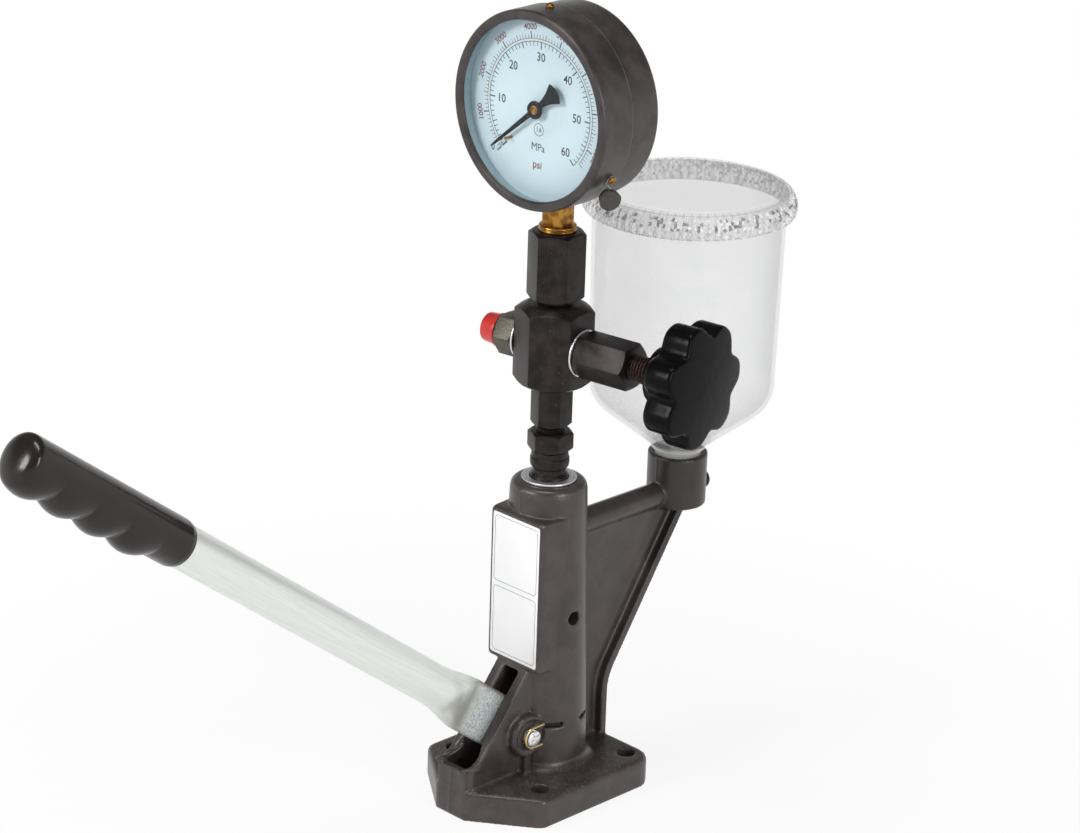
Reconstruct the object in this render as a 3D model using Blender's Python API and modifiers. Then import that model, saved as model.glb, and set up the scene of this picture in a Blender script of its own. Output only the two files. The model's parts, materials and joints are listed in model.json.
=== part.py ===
# Diesel injector tester: a lever pump in a cast body, with a pressure gauge, a
# shut-off valve, a capped outlet and a clear fuel reservoir on an arm.
# Lengths are metres, +Z is up, the pump axis is Z and the origin is at the underside of the base.
# The lever and the gauge face look along -Y, the valve knob is at +X, the reservoir at +Y.

from math import acos, asin, atan2, cos, pi, radians, sin, sqrt, tan

import bmesh
import bpy
from mathutils import Vector

# Shared fits and mesh fineness
clearance = 0.0003
overrun = 0.0020
weld_distance = 0.000001
segments_body = 48
segments_large = 32
segments_medium = 20
segments_small = 14
segments_fine = 8
smooth_angle = radians(32)
bevel_corner_angle = radians(60)
flat_face_angle = radians(0.05)

# Base plate
base_thickness = 0.0160
base_half_width = 0.0444
base_side_reach = 0.0404
base_nose_reach = 0.0655
base_nose_half_width = 0.0100
base_back_reach = 0.0425
base_back_corner_radius = 0.0110
base_side_corner_radius = 0.0080
base_nose_corner_radius = 0.0050
base_edge_round = 0.0025
base_hole_diameter = 0.0097
base_hole_x = 0.0322
base_hole_front_y = 0.0315
base_hole_back_y = 0.0324

# Pump column
column_height = 0.1720
column_top_radius = 0.0200
column_foot_radius = 0.0249
column_shoulder_round = 0.0038
column_foot_fillet = 0.0035

# Label block on the column front
block_half_width = 0.0186
block_front_reach = 0.0221
block_root_half_width = 0.0205
block_root_reach = 0.0040
block_bottom = 0.0728
block_top_drop = 0.0150
block_edge_round = 0.0020

# Fork for the lever: a front block and two ears with bosses
fork_half_width = 0.0117
fork_front_top = 0.0288
fork_front_radius = 0.0045
fork_front_inset = 0.0004
ear_knee_reach = 0.0570
ear_knee_radius = 0.0110
ear_slope = radians(51)
fork_root_reach = 0.0100
channel_half_width = 0.0053
channel_mouth_half_width = 0.0085
channel_narrow_reach = 0.0460
channel_wide_reach = 0.0540
channel_floor = 0.0175
boss_radius = 0.0115
boss_reach = 0.0165
rib_half_width = 0.0022
rib_reach = 0.0160

# Bores of the pump column
spring_chamber_radius = 0.0165
spring_chamber_top = 0.0915
top_bore_depth = 0.0260
locating_hole_radius = 0.00385
locating_hole_height = 0.0998
slot_start = radians(14.5)
slot_end = radians(43)
slot_outer_reach = 0.0270

# Reservoir arm and boss
gallery_drop = 0.0050
gallery_radius = 0.0025
arm_bar_radius = 0.0065
web_half_thickness = 0.0032
web_pocket_depth = 0.0007
web_pocket_bottom = 0.0615
web_pocket_margin = 0.0110
flange_half_width = 0.0080
flange_thickness = 0.0045
flange_setback = 0.0004
flange_knee_height = 0.0484
flange_knee_radius = 0.0270
reservoir_y = 0.0973
cup_boss_radius = 0.0160
cup_boss_drop = 0.0074
cup_boss_rise = 0.0217
cup_socket_rise = 0.0080
cup_drain_radius = 0.0025

# Bottom plug
bottom_plug_height = 0.0050
bottom_plug_recess_radius = 0.0090
bottom_plug_recess_depth = 0.0022

# Label plate
label_half_width = 0.0172
label_bottom_margin = 0.0024
label_top_margin = 0.0023
label_thickness = 0.0004
label_corner_radius = 0.0020

# Pump barrel, plunger and tappet
barrel_radius = 0.0100
barrel_bottom = 0.0830
barrel_flange_radius = 0.0120
barrel_flange_height = 0.0060
barrel_port_radius = 0.0015
plunger_radius = 0.0050
plunger_top_drop = 0.0110
plunger_foot_radius = 0.0075
plunger_foot_height = 0.0025
tappet_bottom = 0.0424
tappet_height = 0.0120
tappet_edge_round = 0.0010
lower_seat_height = 0.0025
upper_seat_height = 0.0031
plunger_spring_radius = 0.0127
plunger_spring_wire_radius = 0.0012
plunger_spring_turns = 5
spring_points_per_turn = 9
clip_thickness = 0.0017
clip_inner_radius = 0.0130
clip_mouth_half_width = 0.0080
clip_lug_reach = 0.0220
clip_lug_inset = radians(2.5)
locating_screw_radius = 0.00355
locating_screw_tip_radius = 0.0022
locating_screw_length = 0.0065
locating_screw_tip_length = 0.0010
locating_screw_slot_half_width = 0.0006
locating_screw_slot_depth = 0.0012

# Delivery valve and its holder
valve_seat_height = 0.0050
valve_stem_radius = 0.0027
valve_stem_length = 0.0040
valve_head_radius = 0.0046
valve_head_height = 0.0026
valve_guide_radius = 0.0020
valve_guide_height = 0.0022
gasket_inner_radius = 0.0075
gasket_thickness = 0.0010
holder_cavity_radius = 0.0060
holder_cavity_rise = 0.0015
holder_flare_radius = 0.01015
holder_shoulder_drop = 0.0004
holder_groove_radius = 0.0086
holder_groove_bottom_rise = 0.0040
holder_groove_top_rise = 0.0060
holder_ring_bottom_rise = 0.0080
holder_ring_top_rise = 0.0124
holder_neck_radius = 0.0096
holder_rise = 0.0160
holder_thread_floor_rise = 0.0070
delivery_spring_radius = 0.0032
delivery_spring_wire_radius = 0.0004
delivery_spring_turns = 4
passage_radius = 0.0015

# Column top washer
top_washer_outer_radius = 0.0144
top_washer_inner_radius = 0.0105
top_washer_thickness = 0.0012

# Lock nut and riser connector
lock_nut_across_flats = 0.0210
lock_nut_height = 0.0103
lock_nut_turn = radians(5.7)
riser_thread_radius = 0.0075
riser_hex_across_flats = 0.0188
riser_hex_rise = 0.0140
riser_hex_height = 0.0210
riser_thread_end_gap = 0.0005
nut_face_share = 0.47
hex_chamfer = radians(30)

# Cross block
upper_yaw = radians(8.3)
block_hex_across_flats = 0.0360
cross_block_height = 0.0442
cross_block_face_radius = 0.0140
valve_axis_rise = 0.0214
cross_passage_radius = 0.0018
lower_port_depth = 0.0112
upper_port_depth = 0.0105
valve_port_floor = 0.0080
outlet_port_floor = 0.0090

# Gauge nut and stem
gauge_nut_neck_radius = 0.0090
gauge_nut_neck_height = 0.0025
gauge_nut_hex_height = 0.0360
gauge_nut_across_flats = 0.0260
gauge_nut_turn = radians(5.7)
gauge_nut_thread_radius = 0.0080
gauge_nut_socket_depth = 0.0140
stem_thread_radius = 0.0070
stem_thread_length = 0.0115
stem_collar_radius = 0.0097
stem_collar_height = 0.0030
stem_radius = 0.0080
stem_flats_across = 0.0124
stem_flats_gap = 0.0012
stem_bore_entry = 0.0076

# Gauge, with local z toward the viewer and local y up
gauge_stand_off = 0.0164
gauge_yaw = radians(2.57)
case_radius = 0.0495
case_wall = 0.0015
case_rear_depth = 0.0167
case_rim_reach = 0.0210
case_rear_round = 0.0030
bezel_proud = 0.0010
bezel_front_reach = 0.02475
bezel_lip_width = 0.0029
bezel_lip_thickness = 0.0018
bezel_round = 0.0018
bezel_rear_reach = 0.0
glass_thickness = 0.00135
dial_face_reach = 0.01636
dial_thickness = 0.0008
dial_inset = 0.0019
dial_hole_radius = 0.0018
pointer_plane_reach = 0.01984
pointer_thickness = 0.0006
pointer_length_share = 0.63
pointer_half_width = 0.0011
pointer_tip_half_width = 0.0003
pointer_tail_length = 0.0165
pointer_tail_half_width = 0.0042
pointer_tail_root = 0.0040
pointer_hub_radius = 0.0042
pointer_hub_thickness = 0.0014
pointer_rest_angle = radians(-135)
pointer_shaft_radius = 0.0010
pointer_shaft_rear = -0.0020
pointer_shaft_front = 0.0209
pinion_radius = 0.0015
pinion_rear = 0.0020
pinion_length = 0.0040
movement_back_plane = -0.0010
movement_plate_thickness = 0.0015
movement_front_plane = 0.0080
movement_half_width = 0.0120
movement_head_reach = 0.0090
movement_lower_reach = 0.0230
movement_foot_half_width = 0.0070
movement_pillar_radius = 0.0014
movement_pillar_margin = 0.0024
dial_pillar_x = 0.0095
sector_radius = 0.0147
sector_plane = 0.0034
sector_thickness = 0.0014
sector_half_angle = radians(18)
sector_start_turn = radians(-13.5)
sector_hub_radius = 0.0024
sector_pin_radius = 0.0010
sector_pin_length = 0.0056
sector_tail_length = 0.0080
sector_tail_half_width = 0.0013
link_half_width = 0.0012
link_thickness = 0.0008
link_free_gap = 0.0036
bourdon_inset = 0.0165
bourdon_tube_radius = 0.0024
bourdon_plane = 0.0045
bourdon_start = radians(262)
bourdon_end = radians(-22)
bourdon_points = 28
stop_pin_radius = 0.0007
stop_pin_ring_share = 0.9
stop_pin_offset = radians(5)
stop_pin_length = 0.0052
bezel_screw_angles = (radians(90), radians(-32), radians(212))
bezel_screw_reach = 0.0110
bezel_screw_shank_radius = 0.0012
bezel_screw_head_radius = 0.0024
bezel_screw_head_height = 0.0015
bezel_screw_crown_share = 0.8
bezel_screw_edge_share = 0.6
seal_screw_neck = 0.0014
seal_wire_radius = 0.0003
seal_lead_radius = 0.0056
seal_lead_thickness = 0.0036
seal_drop = 0.0105
seal_loop_start = radians(54)
seal_loop_sweep = radians(252)
seal_loop_steps = 10
seal_leg_top_share = 0.9
seal_leg_depth_share = 0.5
seal_pocket_share = 0.3

# Shut-off valve along the side axis of the cross block, distances from the pump axis
valve_washer_outer_radius = 0.0123
valve_washer_inner_radius = 0.0086
side_washer_thickness = 0.0011
bonnet_across_flats = 0.0220
bonnet_turn = radians(4.5)
bonnet_end = 0.0510
bonnet_thread_radius = 0.0080
bonnet_pocket_floor = 0.0240
needle_radius = 0.0030
needle_point_radius = 0.0010
needle_point_length = 0.0022
packing_length = 0.0037
spindle_radius = 0.0070
knob_hub_start = 0.0655
knob_hub_radius = 0.0150
knob_star_start = 0.0778
knob_front = 0.0935
knob_tip_radius = 0.0312
knob_valley_radius = 0.0232
knob_lobes = 7
knob_points_per_lobe = 8
knob_phase = radians(2.5)
knob_edge_bevel = 0.0010
knob_bore_depth = 0.0200

# Outlet on the other side of the cross block
outlet_washer_outer_radius = 0.0115
outlet_washer_inner_radius = 0.0076
outlet_thread_radius = 0.0070
outlet_hex_across_flats = 0.0200
outlet_hex_end = 0.0315
outlet_nose_radius = 0.0068
outlet_nose_end = 0.0410
outlet_cone_radius = 0.0030
outlet_cone_depth = 0.0030
cap_lip_radius = 0.0089
cap_end_radius = 0.0077
cap_end_wall = 0.0010
cap_lip_gap = 0.0010

# Reservoir cup and lid
cup_wall = 0.0020
cup_rim_radius = 0.0512
cup_shoulder_radius = 0.0492
cup_shoulder_rise = 0.0393
cup_turn_radius = 0.0465
cup_turn_rise = 0.0279
cup_funnel_radius = 0.0368
cup_funnel_rise = 0.0148
cup_floor_radius = 0.0258
cup_floor_rise = 0.0057
cup_root_radius = 0.0145
cup_root_rise = 0.0023
cup_spigot_radius = 0.0127
cup_outlet_radius = 0.0040
cup_gasket_thickness = 0.0010
cup_floor_fall_share = 0.15
lid_disc_inset = 0.0026
lid_rise = 0.1486
lid_disc_thickness = 0.0020
lid_rim_proud = 0.0050
lid_skirt_drop = 0.0138
lid_shoulder_drop = 0.0078
lid_skirt_gap = 0.0008
lid_slope_shares = ((0.51, 0.19), (0.88, 0.58), (1.0, 1.0))

# Gallery plug
gallery_plug_radius = 0.0040
gallery_plug_depth = 0.0100
gallery_plug_head_radius = 0.00525
gallery_plug_head_height = 0.0054
gallery_plug_socket_radius = 0.0026
gallery_plug_socket_depth = 0.0030

# Lever, its pivot, pin and grip; distances along the lever are from the pivot
pivot_y = -0.0245
pivot_z = 0.0377
lever_angle = radians(36.87)
lever_tube_radius = 0.0110
lever_tube_wall = 0.0020
lever_bore_start = 0.0720
lever_end = 0.3840
blade_half_thickness = 0.0050
blade_half_height = 0.01435
blade_offset = 0.00075
blade_start = 0.0040
blade_end = 0.0360
lever_neck_end = 0.0700
neck_place_shares = (0.0, 0.24, 0.59, 1.0)
neck_height_shares = (0.0, 0.25, 0.78, 1.0)
neck_width_shares = (0.0, 0.34, 0.84, 1.0)
neck_power_shares = (6.0, 4.0, 2.4, 2.0)
lever_ring_points = 24
arm_length = 0.0240
arm_rest_angle = radians(-8)
arm_half_height = 0.0045
arm_half_thickness = 0.0048
arm_pivot_radius = 0.0080
pin_radius = 0.0044
pin_reach = 0.0208
pin_chamfer = 0.0012
pin_groove_depth = 0.0008
pin_groove_width = 0.0020
pin_groove_offset = 0.0022
pin_clip_wire_radius = 0.0006
pin_clip_leg = 0.0066
grip_start = 0.2680
grip_end = 0.3905
grip_radius = 0.0123
grip_collar_radius = 0.0117
grip_collar_length = 0.0030
grip_dome_length = 0.0065
grip_dome_last_share = 0.985
grip_dome_power = 2.6
grip_ridge_height = 0.0045
grip_first_ridge = 0.2985
grip_ridge_pitch = 0.0243
grip_ridges = 4
grip_ridge_power = 1.5
grip_ring_step = 0.0038
grip_ring_points = 16

# Derived heights of the column and the reservoir boss
block_top = column_height - block_top_drop
top_bore_floor = column_height - top_bore_depth
plunger_top = top_bore_floor - plunger_top_drop
gallery_height = top_bore_floor - gallery_drop
cup_boss_bottom = gallery_height - cup_boss_drop
cup_boss_top = gallery_height + cup_boss_rise
cup_socket_floor = gallery_height + cup_socket_rise
label_bottom = block_bottom + label_bottom_margin
label_top = block_top - label_top_margin

# Derived heights of the fittings above the column
holder_cavity_top = column_height + holder_cavity_rise
holder_shoulder_bottom = column_height - holder_shoulder_drop
holder_groove_bottom = column_height + holder_groove_bottom_rise
holder_groove_top = column_height + holder_groove_top_rise
holder_ring_bottom = column_height + holder_ring_bottom_rise
holder_ring_top = column_height + holder_ring_top_rise
holder_top = column_height + holder_rise
holder_thread_floor = column_height + holder_thread_floor_rise
riser_hex_bottom = holder_top + riser_hex_rise
riser_hex_top = riser_hex_bottom + riser_hex_height
cross_block_bottom = riser_hex_top + clearance
cross_block_top = cross_block_bottom + cross_block_height
valve_height = cross_block_bottom + valve_axis_rise
lower_port_top = cross_block_bottom + lower_port_depth
riser_thread_top = lower_port_top - riser_thread_end_gap
upper_port_floor = cross_block_top - upper_port_depth
gauge_nut_hex_bottom = cross_block_top + gauge_nut_neck_height
gauge_nut_top = gauge_nut_hex_bottom + gauge_nut_hex_height
gauge_nut_socket_floor = gauge_nut_top - gauge_nut_socket_depth
stem_thread_bottom = gauge_nut_top - stem_thread_length
gauge_height = gauge_nut_top + gauge_stand_off + case_radius
stem_flats_top = gauge_height - case_radius - stem_flats_gap
stem_bore_top = gauge_height - case_radius + stem_bore_entry

# Derived sizes of the gauge
bezel_radius = case_radius + bezel_proud
bezel_lip_radius = case_radius - bezel_lip_width
dial_radius = case_radius - dial_inset
pointer_length = dial_radius * pointer_length_share
stop_pin_ring = pointer_length * stop_pin_ring_share
bourdon_radius = case_radius - bourdon_inset

# Derived sizes of the reservoir
cup_root_height = cup_boss_top + cup_root_rise
cup_floor_height = cup_boss_top + cup_floor_rise
cup_funnel_height = cup_boss_top + cup_funnel_rise
cup_turn_height = cup_boss_top + cup_turn_rise
cup_shoulder_height = cup_boss_top + cup_shoulder_rise
lid_top = cup_boss_top + lid_rise
lid_skirt_bottom = lid_top - lid_skirt_drop
lid_shoulder_height = lid_top - lid_shoulder_drop
lid_disc_radius = cup_rim_radius - lid_disc_inset
lid_rim_radius = cup_rim_radius + lid_rim_proud

# Derived fits of the base and column
barrel_bore_radius = barrel_radius + clearance
top_bore_radius = barrel_flange_radius + clearance
gallery_plug_seat = reservoir_y + cup_boss_radius + clearance
cup_socket_radius = cup_spigot_radius + clearance
hole_places = [(side * base_hole_x, y) for side in (-1, 1) for y in (-base_hole_front_y, base_hole_back_y)]

# Derived stack of the pump
tappet_top = tappet_bottom + tappet_height
foot_bottom = tappet_top + clearance
foot_top = foot_bottom + plunger_foot_height
lower_seat_bottom = foot_top + clearance
lower_seat_top = lower_seat_bottom + lower_seat_height
upper_seat_top = spring_chamber_top - clearance
upper_seat_bottom = upper_seat_top - upper_seat_height
barrel_flange_bottom = top_bore_floor + clearance
barrel_top = barrel_flange_bottom + barrel_flange_height
valve_seat_bottom = barrel_top + clearance
valve_seat_top = valve_seat_bottom + valve_seat_height
gasket_bottom = valve_seat_top + clearance
gasket_top = gasket_bottom + gasket_thickness
holder_bottom = gasket_top + clearance
clip_top = tappet_bottom - clearance
clip_bottom = clip_top - clip_thickness
top_washer_bottom = column_height + clearance
lock_nut_bottom = holder_top + clearance
side_face = block_hex_across_flats / 2
side_washer_start = side_face + clearance
side_hex_start = side_washer_start + side_washer_thickness + clearance
bourdon_foot = bourdon_radius * sin(bourdon_start) - bourdon_tube_radius
stem_top = gauge_height + bourdon_foot - clearance

origin = (0.0, 0.0, 0.0)

for old in list(bpy.data.objects):
    bpy.data.objects.remove(old)

part_collection = bpy.data.collections.new("diesel_injector_tester")
cutter_collection = bpy.data.collections.new("cutters")
bpy.context.scene.collection.children.link(part_collection)
bpy.context.scene.collection.children.link(cutter_collection)


# Helpers

def material(name, colour, roughness, metallic, alpha=1.0):
    made = bpy.data.materials.new(name)
    made.use_nodes = True
    shader = made.node_tree.nodes["Principled BSDF"]
    shader.inputs["Base Color"].default_value = (*colour, 1.0)
    shader.inputs["Roughness"].default_value = roughness
    shader.inputs["Metallic"].default_value = metallic
    shader.inputs["Alpha"].default_value = alpha
    made.diffuse_color = (*colour, alpha)
    return made


def frame(name, location, rotation=origin, parent=None):
    empty = bpy.data.objects.new(name, None)
    empty.location = location
    empty.rotation_euler = rotation
    empty.parent = parent
    part_collection.objects.link(empty)
    return empty


def add_object(name, mesh, parent, location, rotation):
    made = bpy.data.objects.new(name, mesh)
    made.parent = parent
    made.location = location
    made.rotation_euler = rotation
    part_collection.objects.link(made)
    return made


def turned(name, profile, segments, parent=None, location=origin, rotation=origin):
    """A profile of (radius, height) pairs, down the outer side, turned about local Z."""
    count = len(profile)
    edges = [(index, index + 1) for index in range(count - 1)]
    if profile[0][0] > 0:
        edges.append((count - 1, 0))
    mesh = bpy.data.meshes.new(name)
    mesh.from_pydata([(radius, 0.0, height) for radius, height in profile], edges, [])
    made = add_object(name, mesh, parent, location, rotation)
    screw = made.modifiers.new("turn", "SCREW")
    screw.steps = segments
    screw.render_steps = segments
    screw.use_merge_vertices = True
    screw.merge_threshold = weld_distance
    return made


def cylinder(name, radius, low, high, segments, parent=None, location=origin, rotation=origin):
    mesh = bpy.data.meshes.new(name)
    shape = bmesh.new()
    bmesh.ops.create_cone(shape, cap_ends=True, segments=segments, radius1=radius, radius2=radius,
                          depth=high - low)
    bmesh.ops.translate(shape, verts=shape.verts, vec=(0.0, 0.0, (low + high) / 2))
    shape.to_mesh(mesh)
    shape.free()
    return add_object(name, mesh, parent, location, rotation)


def tube(name, outer, inner, low, high, segments, parent=None, location=origin, rotation=origin):
    profile = [(outer, high), (outer, low), (inner, low), (inner, high)]
    return turned(name, profile, segments, parent, location, rotation)


def box(name, x_range, y_range, z_range, parent=None, location=origin, rotation=origin):
    mesh = bpy.data.meshes.new(name)
    shape = bmesh.new()
    bmesh.ops.create_cube(shape, size=1)
    for vertex in shape.verts:
        vertex.co = Vector([ends[0] if side < 0 else ends[1]
                            for side, ends in zip(vertex.co, (x_range, y_range, z_range))])
    shape.to_mesh(mesh)
    shape.free()
    return add_object(name, mesh, parent, location, rotation)


def curve_mesh(name, curve):
    """The closed mesh that a curve makes, with its caps welded."""
    holder = bpy.data.objects.new(name, curve)
    bpy.context.scene.collection.objects.link(holder)
    bpy.context.view_layer.update()
    evaluated = holder.evaluated_get(bpy.context.evaluated_depsgraph_get())
    mesh = bpy.data.meshes.new_from_object(evaluated)
    bpy.data.objects.remove(holder)
    shape = bmesh.new()
    shape.from_mesh(mesh)
    bmesh.ops.remove_doubles(shape, verts=shape.verts, dist=weld_distance)
    bmesh.ops.recalc_face_normals(shape, faces=shape.faces)
    shape.to_mesh(mesh)
    shape.free()
    return mesh


def prism(name, outline, low, high, parent=None, location=origin, rotation=origin):
    """A flat outline of (x, y) points, filled and as thick as from low to high along local Z."""
    curve = bpy.data.curves.new(name, "CURVE")
    curve.dimensions = "2D"
    curve.fill_mode = "BOTH"
    curve.extrude = (high - low) / 2
    spline = curve.splines.new("POLY")
    spline.points.add(len(outline) - 1)
    for point, (x, y) in zip(spline.points, outline):
        point.co = (x, y, 0.0, 1)
    spline.use_cyclic_u = True
    mesh = curve_mesh(name, curve)
    shape = bmesh.new()
    shape.from_mesh(mesh)
    bmesh.ops.dissolve_limit(shape, angle_limit=flat_face_angle, verts=shape.verts, edges=shape.edges)
    bmesh.ops.translate(shape, verts=shape.verts, vec=(0.0, 0.0, (low + high) / 2))
    shape.to_mesh(mesh)
    shape.free()
    return add_object(name, mesh, parent, location, rotation)


def wire(name, points, radius, detail, closed=False, parent=None, location=origin, rotation=origin):
    """A round wire along the points."""
    curve = bpy.data.curves.new(name, "CURVE")
    curve.dimensions = "3D"
    curve.bevel_depth = radius
    curve.bevel_resolution = detail
    curve.use_fill_caps = not closed
    spline = curve.splines.new("POLY")
    spline.points.add(len(points) - 1)
    for point, place in zip(spline.points, points):
        point.co = (*place, 1)
    spline.use_cyclic_u = closed
    return add_object(name, curve_mesh(name, curve), parent, location, rotation)


def loft(name, rings, parent=None, location=origin, rotation=origin):
    """A closed skin through rings of equally many points, with a cap on the first and last."""
    mesh = bpy.data.meshes.new(name)
    shape = bmesh.new()
    rows = [[shape.verts.new(place) for place in ring] for ring in rings]
    count = len(rows[0])
    for first, second in zip(rows, rows[1:]):
        for index in range(count):
            after = (index + 1) % count
            shape.faces.new((first[index], first[after], second[after], second[index]))
    shape.faces.new(rows[0])
    shape.faces.new(rows[-1])
    bmesh.ops.recalc_face_normals(shape, faces=shape.faces)
    shape.to_mesh(mesh)
    shape.free()
    return add_object(name, mesh, parent, location, rotation)


def combine(target, other, operation):
    part_collection.objects.unlink(other)
    cutter_collection.objects.link(other)
    other.hide_render = True
    other.display_type = "WIRE"
    step = target.modifiers.new(other.name, "BOOLEAN")
    step.operation = operation
    step.solver = "EXACT"
    step.object = other


def join(target, *others):
    for other in others:
        combine(target, other, "UNION")


def cut(target, *others):
    for other in others:
        combine(target, other, "DIFFERENCE")


def keep_common(target, other):
    combine(target, other, "INTERSECT")


def hexagon(name, across_flats, low, high, turn, ends, parent=None, location=origin, rotation=origin):
    """A hexagon bar whose corners are turned away at the ends named: low, high or both."""
    corner = across_flats / sqrt(3)
    face = across_flats * nut_face_share
    drop = (corner - face) * tan(hex_chamfer)
    bar = cylinder(name, corner, low - overrun, high + overrun, 6, parent, location, rotation)
    for vertex in bar.data.vertices:
        vertex.co = (vertex.co.x * cos(turn) - vertex.co.y * sin(turn),
                     vertex.co.x * sin(turn) + vertex.co.y * cos(turn), vertex.co.z)
    outer = corner + overrun
    slope = overrun * tan(hex_chamfer)
    profile = [(0.0, high)]
    if ends in ("high", "both"):
        profile += [(face, high), (outer, high - drop - slope)]
    else:
        profile += [(outer, high)]
    if ends in ("low", "both"):
        profile += [(outer, low + drop + slope), (face, low)]
    else:
        profile += [(outer, low)]
    profile += [(0.0, low)]
    keep_common(bar, turned(name + "_turning", profile, segments_medium, parent, location, rotation))
    return bar


def arc(centre, radius, start, end, steps):
    return [(centre[0] + radius * cos(start + (end - start) * step / steps),
             centre[1] + radius * sin(start + (end - start) * step / steps)) for step in range(steps + 1)]


def rounded(corners, steps=4):
    """An outline with each corner (x, y, radius) rounded by an arc."""
    points = []
    count = len(corners)
    for index, (x, y, radius) in enumerate(corners):
        here = Vector((x, y))
        back = (Vector(corners[index - 1][:2]) - here).normalized()
        ahead = (Vector(corners[(index + 1) % count][:2]) - here).normalized()
        if radius <= 0:
            points.append((x, y))
            continue
        half = acos(max(-1, min(1, back.dot(ahead)))) / 2
        middle = here + (back + ahead).normalized() * (radius / sin(half))
        touch_back = here + back * (radius / tan(half))
        touch_ahead = here + ahead * (radius / tan(half))
        start = atan2(touch_back.y - middle.y, touch_back.x - middle.x)
        sweep = atan2(touch_ahead.y - middle.y, touch_ahead.x - middle.x) - start
        if sweep > pi:
            sweep -= 2 * pi
        if sweep < -pi:
            sweep += 2 * pi
        points += arc((middle.x, middle.y), radius, start, start + sweep, steps)
    return points


def offset_path(path, distance):
    """The path moved sideways, to its right, with mitred corners."""
    moved = []
    for index, place in enumerate(path):
        here = Vector(place)
        normals = []
        for first, second in ((index - 1, index), (index, index + 1)):
            if first < 0 or second >= len(path):
                continue
            along = (Vector(path[second]) - Vector(path[first])).normalized()
            normals.append(Vector((along.y, -along.x)))
        middle = sum(normals, Vector((0.0, 0.0))).normalized()
        moved.append(tuple(here + middle * (distance / middle.dot(normals[0]))))
    return moved


def oval(along, centre, half_height, half_width, power):
    """A ring of a lever section: round at power 2 and nearly a rectangle at a high power."""
    ring = []
    for index in range(lever_ring_points):
        angle = 2 * pi * (index + 0.5) / lever_ring_points
        side = cos(angle)
        lift = sin(angle)
        size = (abs(side) ** power + abs(lift) ** power) ** (-1 / power)
        ring.append((half_width * side * size, -along, centre + half_height * lift * size))
    return ring


def coil(radius, low, high, turns):
    steps = turns * spring_points_per_turn
    return [(radius * cos(2 * pi * step / spring_points_per_turn),
             radius * sin(2 * pi * step / spring_points_per_turn),
             low + (high - low) * step / steps) for step in range(steps + 1)]


finished_parts = []


def finish(made, name, finish_material):
    """Keeps the object as a part of the tester."""
    made.name = name
    made.data.materials.clear()
    made.data.materials.append(finish_material)
    finished_parts.append(made)
    return made


# Materials

paint = material("dark_casting_paint", (0.022, 0.018, 0.016), 0.45, 0.0)
black_oxide = material("black_oxide_steel", (0.035, 0.030, 0.030), 0.38, 0.7)
bright_steel = material("bright_steel", (0.75, 0.75, 0.74), 0.25, 1.0)
plain_steel = material("plain_steel", (0.45, 0.45, 0.46), 0.35, 1.0)
spring_steel = material("spring_steel", (0.30, 0.30, 0.32), 0.35, 1.0)
zinc = material("zinc_plate", (0.66, 0.70, 0.68), 0.32, 1.0)
yellow_zinc = material("yellow_zinc_plate", (0.62, 0.46, 0.20), 0.30, 1.0)
brass = material("brass", (0.55, 0.33, 0.08), 0.25, 1.0)
copper = material("copper", (0.70, 0.32, 0.18), 0.35, 1.0)
union_steel = material("olive_plated_steel", (0.13, 0.12, 0.10), 0.42, 0.8)
reddish_steel = material("reddish_oxide_steel", (0.060, 0.028, 0.026), 0.45, 0.6)
black_enamel = material("black_enamel", (0.012, 0.012, 0.012), 0.30, 0.0)
black_bakelite = material("black_bakelite", (0.010, 0.008, 0.008), 0.22, 0.0)
dark_grip = material("dark_grip_plastic", (0.016, 0.010, 0.010), 0.18, 0.0)
red_plastic = material("red_plastic", (0.60, 0.02, 0.02), 0.30, 0.0)
white_label = material("white_label", (0.80, 0.80, 0.78), 0.50, 0.0)
dial_paint = material("dial_paint", (0.72, 0.80, 0.84), 0.50, 0.0)
pointer_black = material("pointer_black", (0.008, 0.008, 0.008), 0.45, 0.0)
glass = material("gauge_glass", (0.95, 0.97, 0.97), 0.03, 0.0, 0.15)
clear_plastic = material("clear_plastic", (0.90, 0.91, 0.91), 0.08, 0.0, 0.35)
lead = material("lead", (0.10, 0.10, 0.10), 0.55, 0.6)
fibre = material("packing_fibre", (0.30, 0.26, 0.20), 0.90, 0.0)
rubber = material("black_rubber", (0.02, 0.02, 0.02), 0.70, 0.0)

# Frames on which pieces are placed

pivot_frame = frame("pivot_axis", (0.0, pivot_y, pivot_z), (0.0, pi / 2, 0.0))
lever_frame = frame("lever_axis", (0.0, pivot_y, pivot_z), (-lever_angle, 0.0, 0.0))
upper_frame = frame("upper_axis", origin, (0.0, 0.0, upper_yaw))
valve_frame = frame("valve_axis", (0.0, 0.0, valve_height), (0.0, pi / 2, upper_yaw))
outlet_frame = frame("outlet_axis", (0.0, 0.0, valve_height), (0.0, -pi / 2, upper_yaw))
gauge_frame = frame("gauge_axis", (0.0, 0.0, gauge_height), (pi / 2, 0.0, gauge_yaw))
reservoir_frame = frame("reservoir_axis", (0.0, reservoir_y, 0.0))
gallery_frame = frame("gallery_axis", (0.0, 0.0, gallery_height), (-pi / 2, 0.0, 0.0))
locating_frame = frame("locating_axis", (0.0, 0.0, locating_hole_height), (0.0, pi / 2, 0.0))

side_view = (pi / 2, 0.0, pi / 2)


# Body casting

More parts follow.
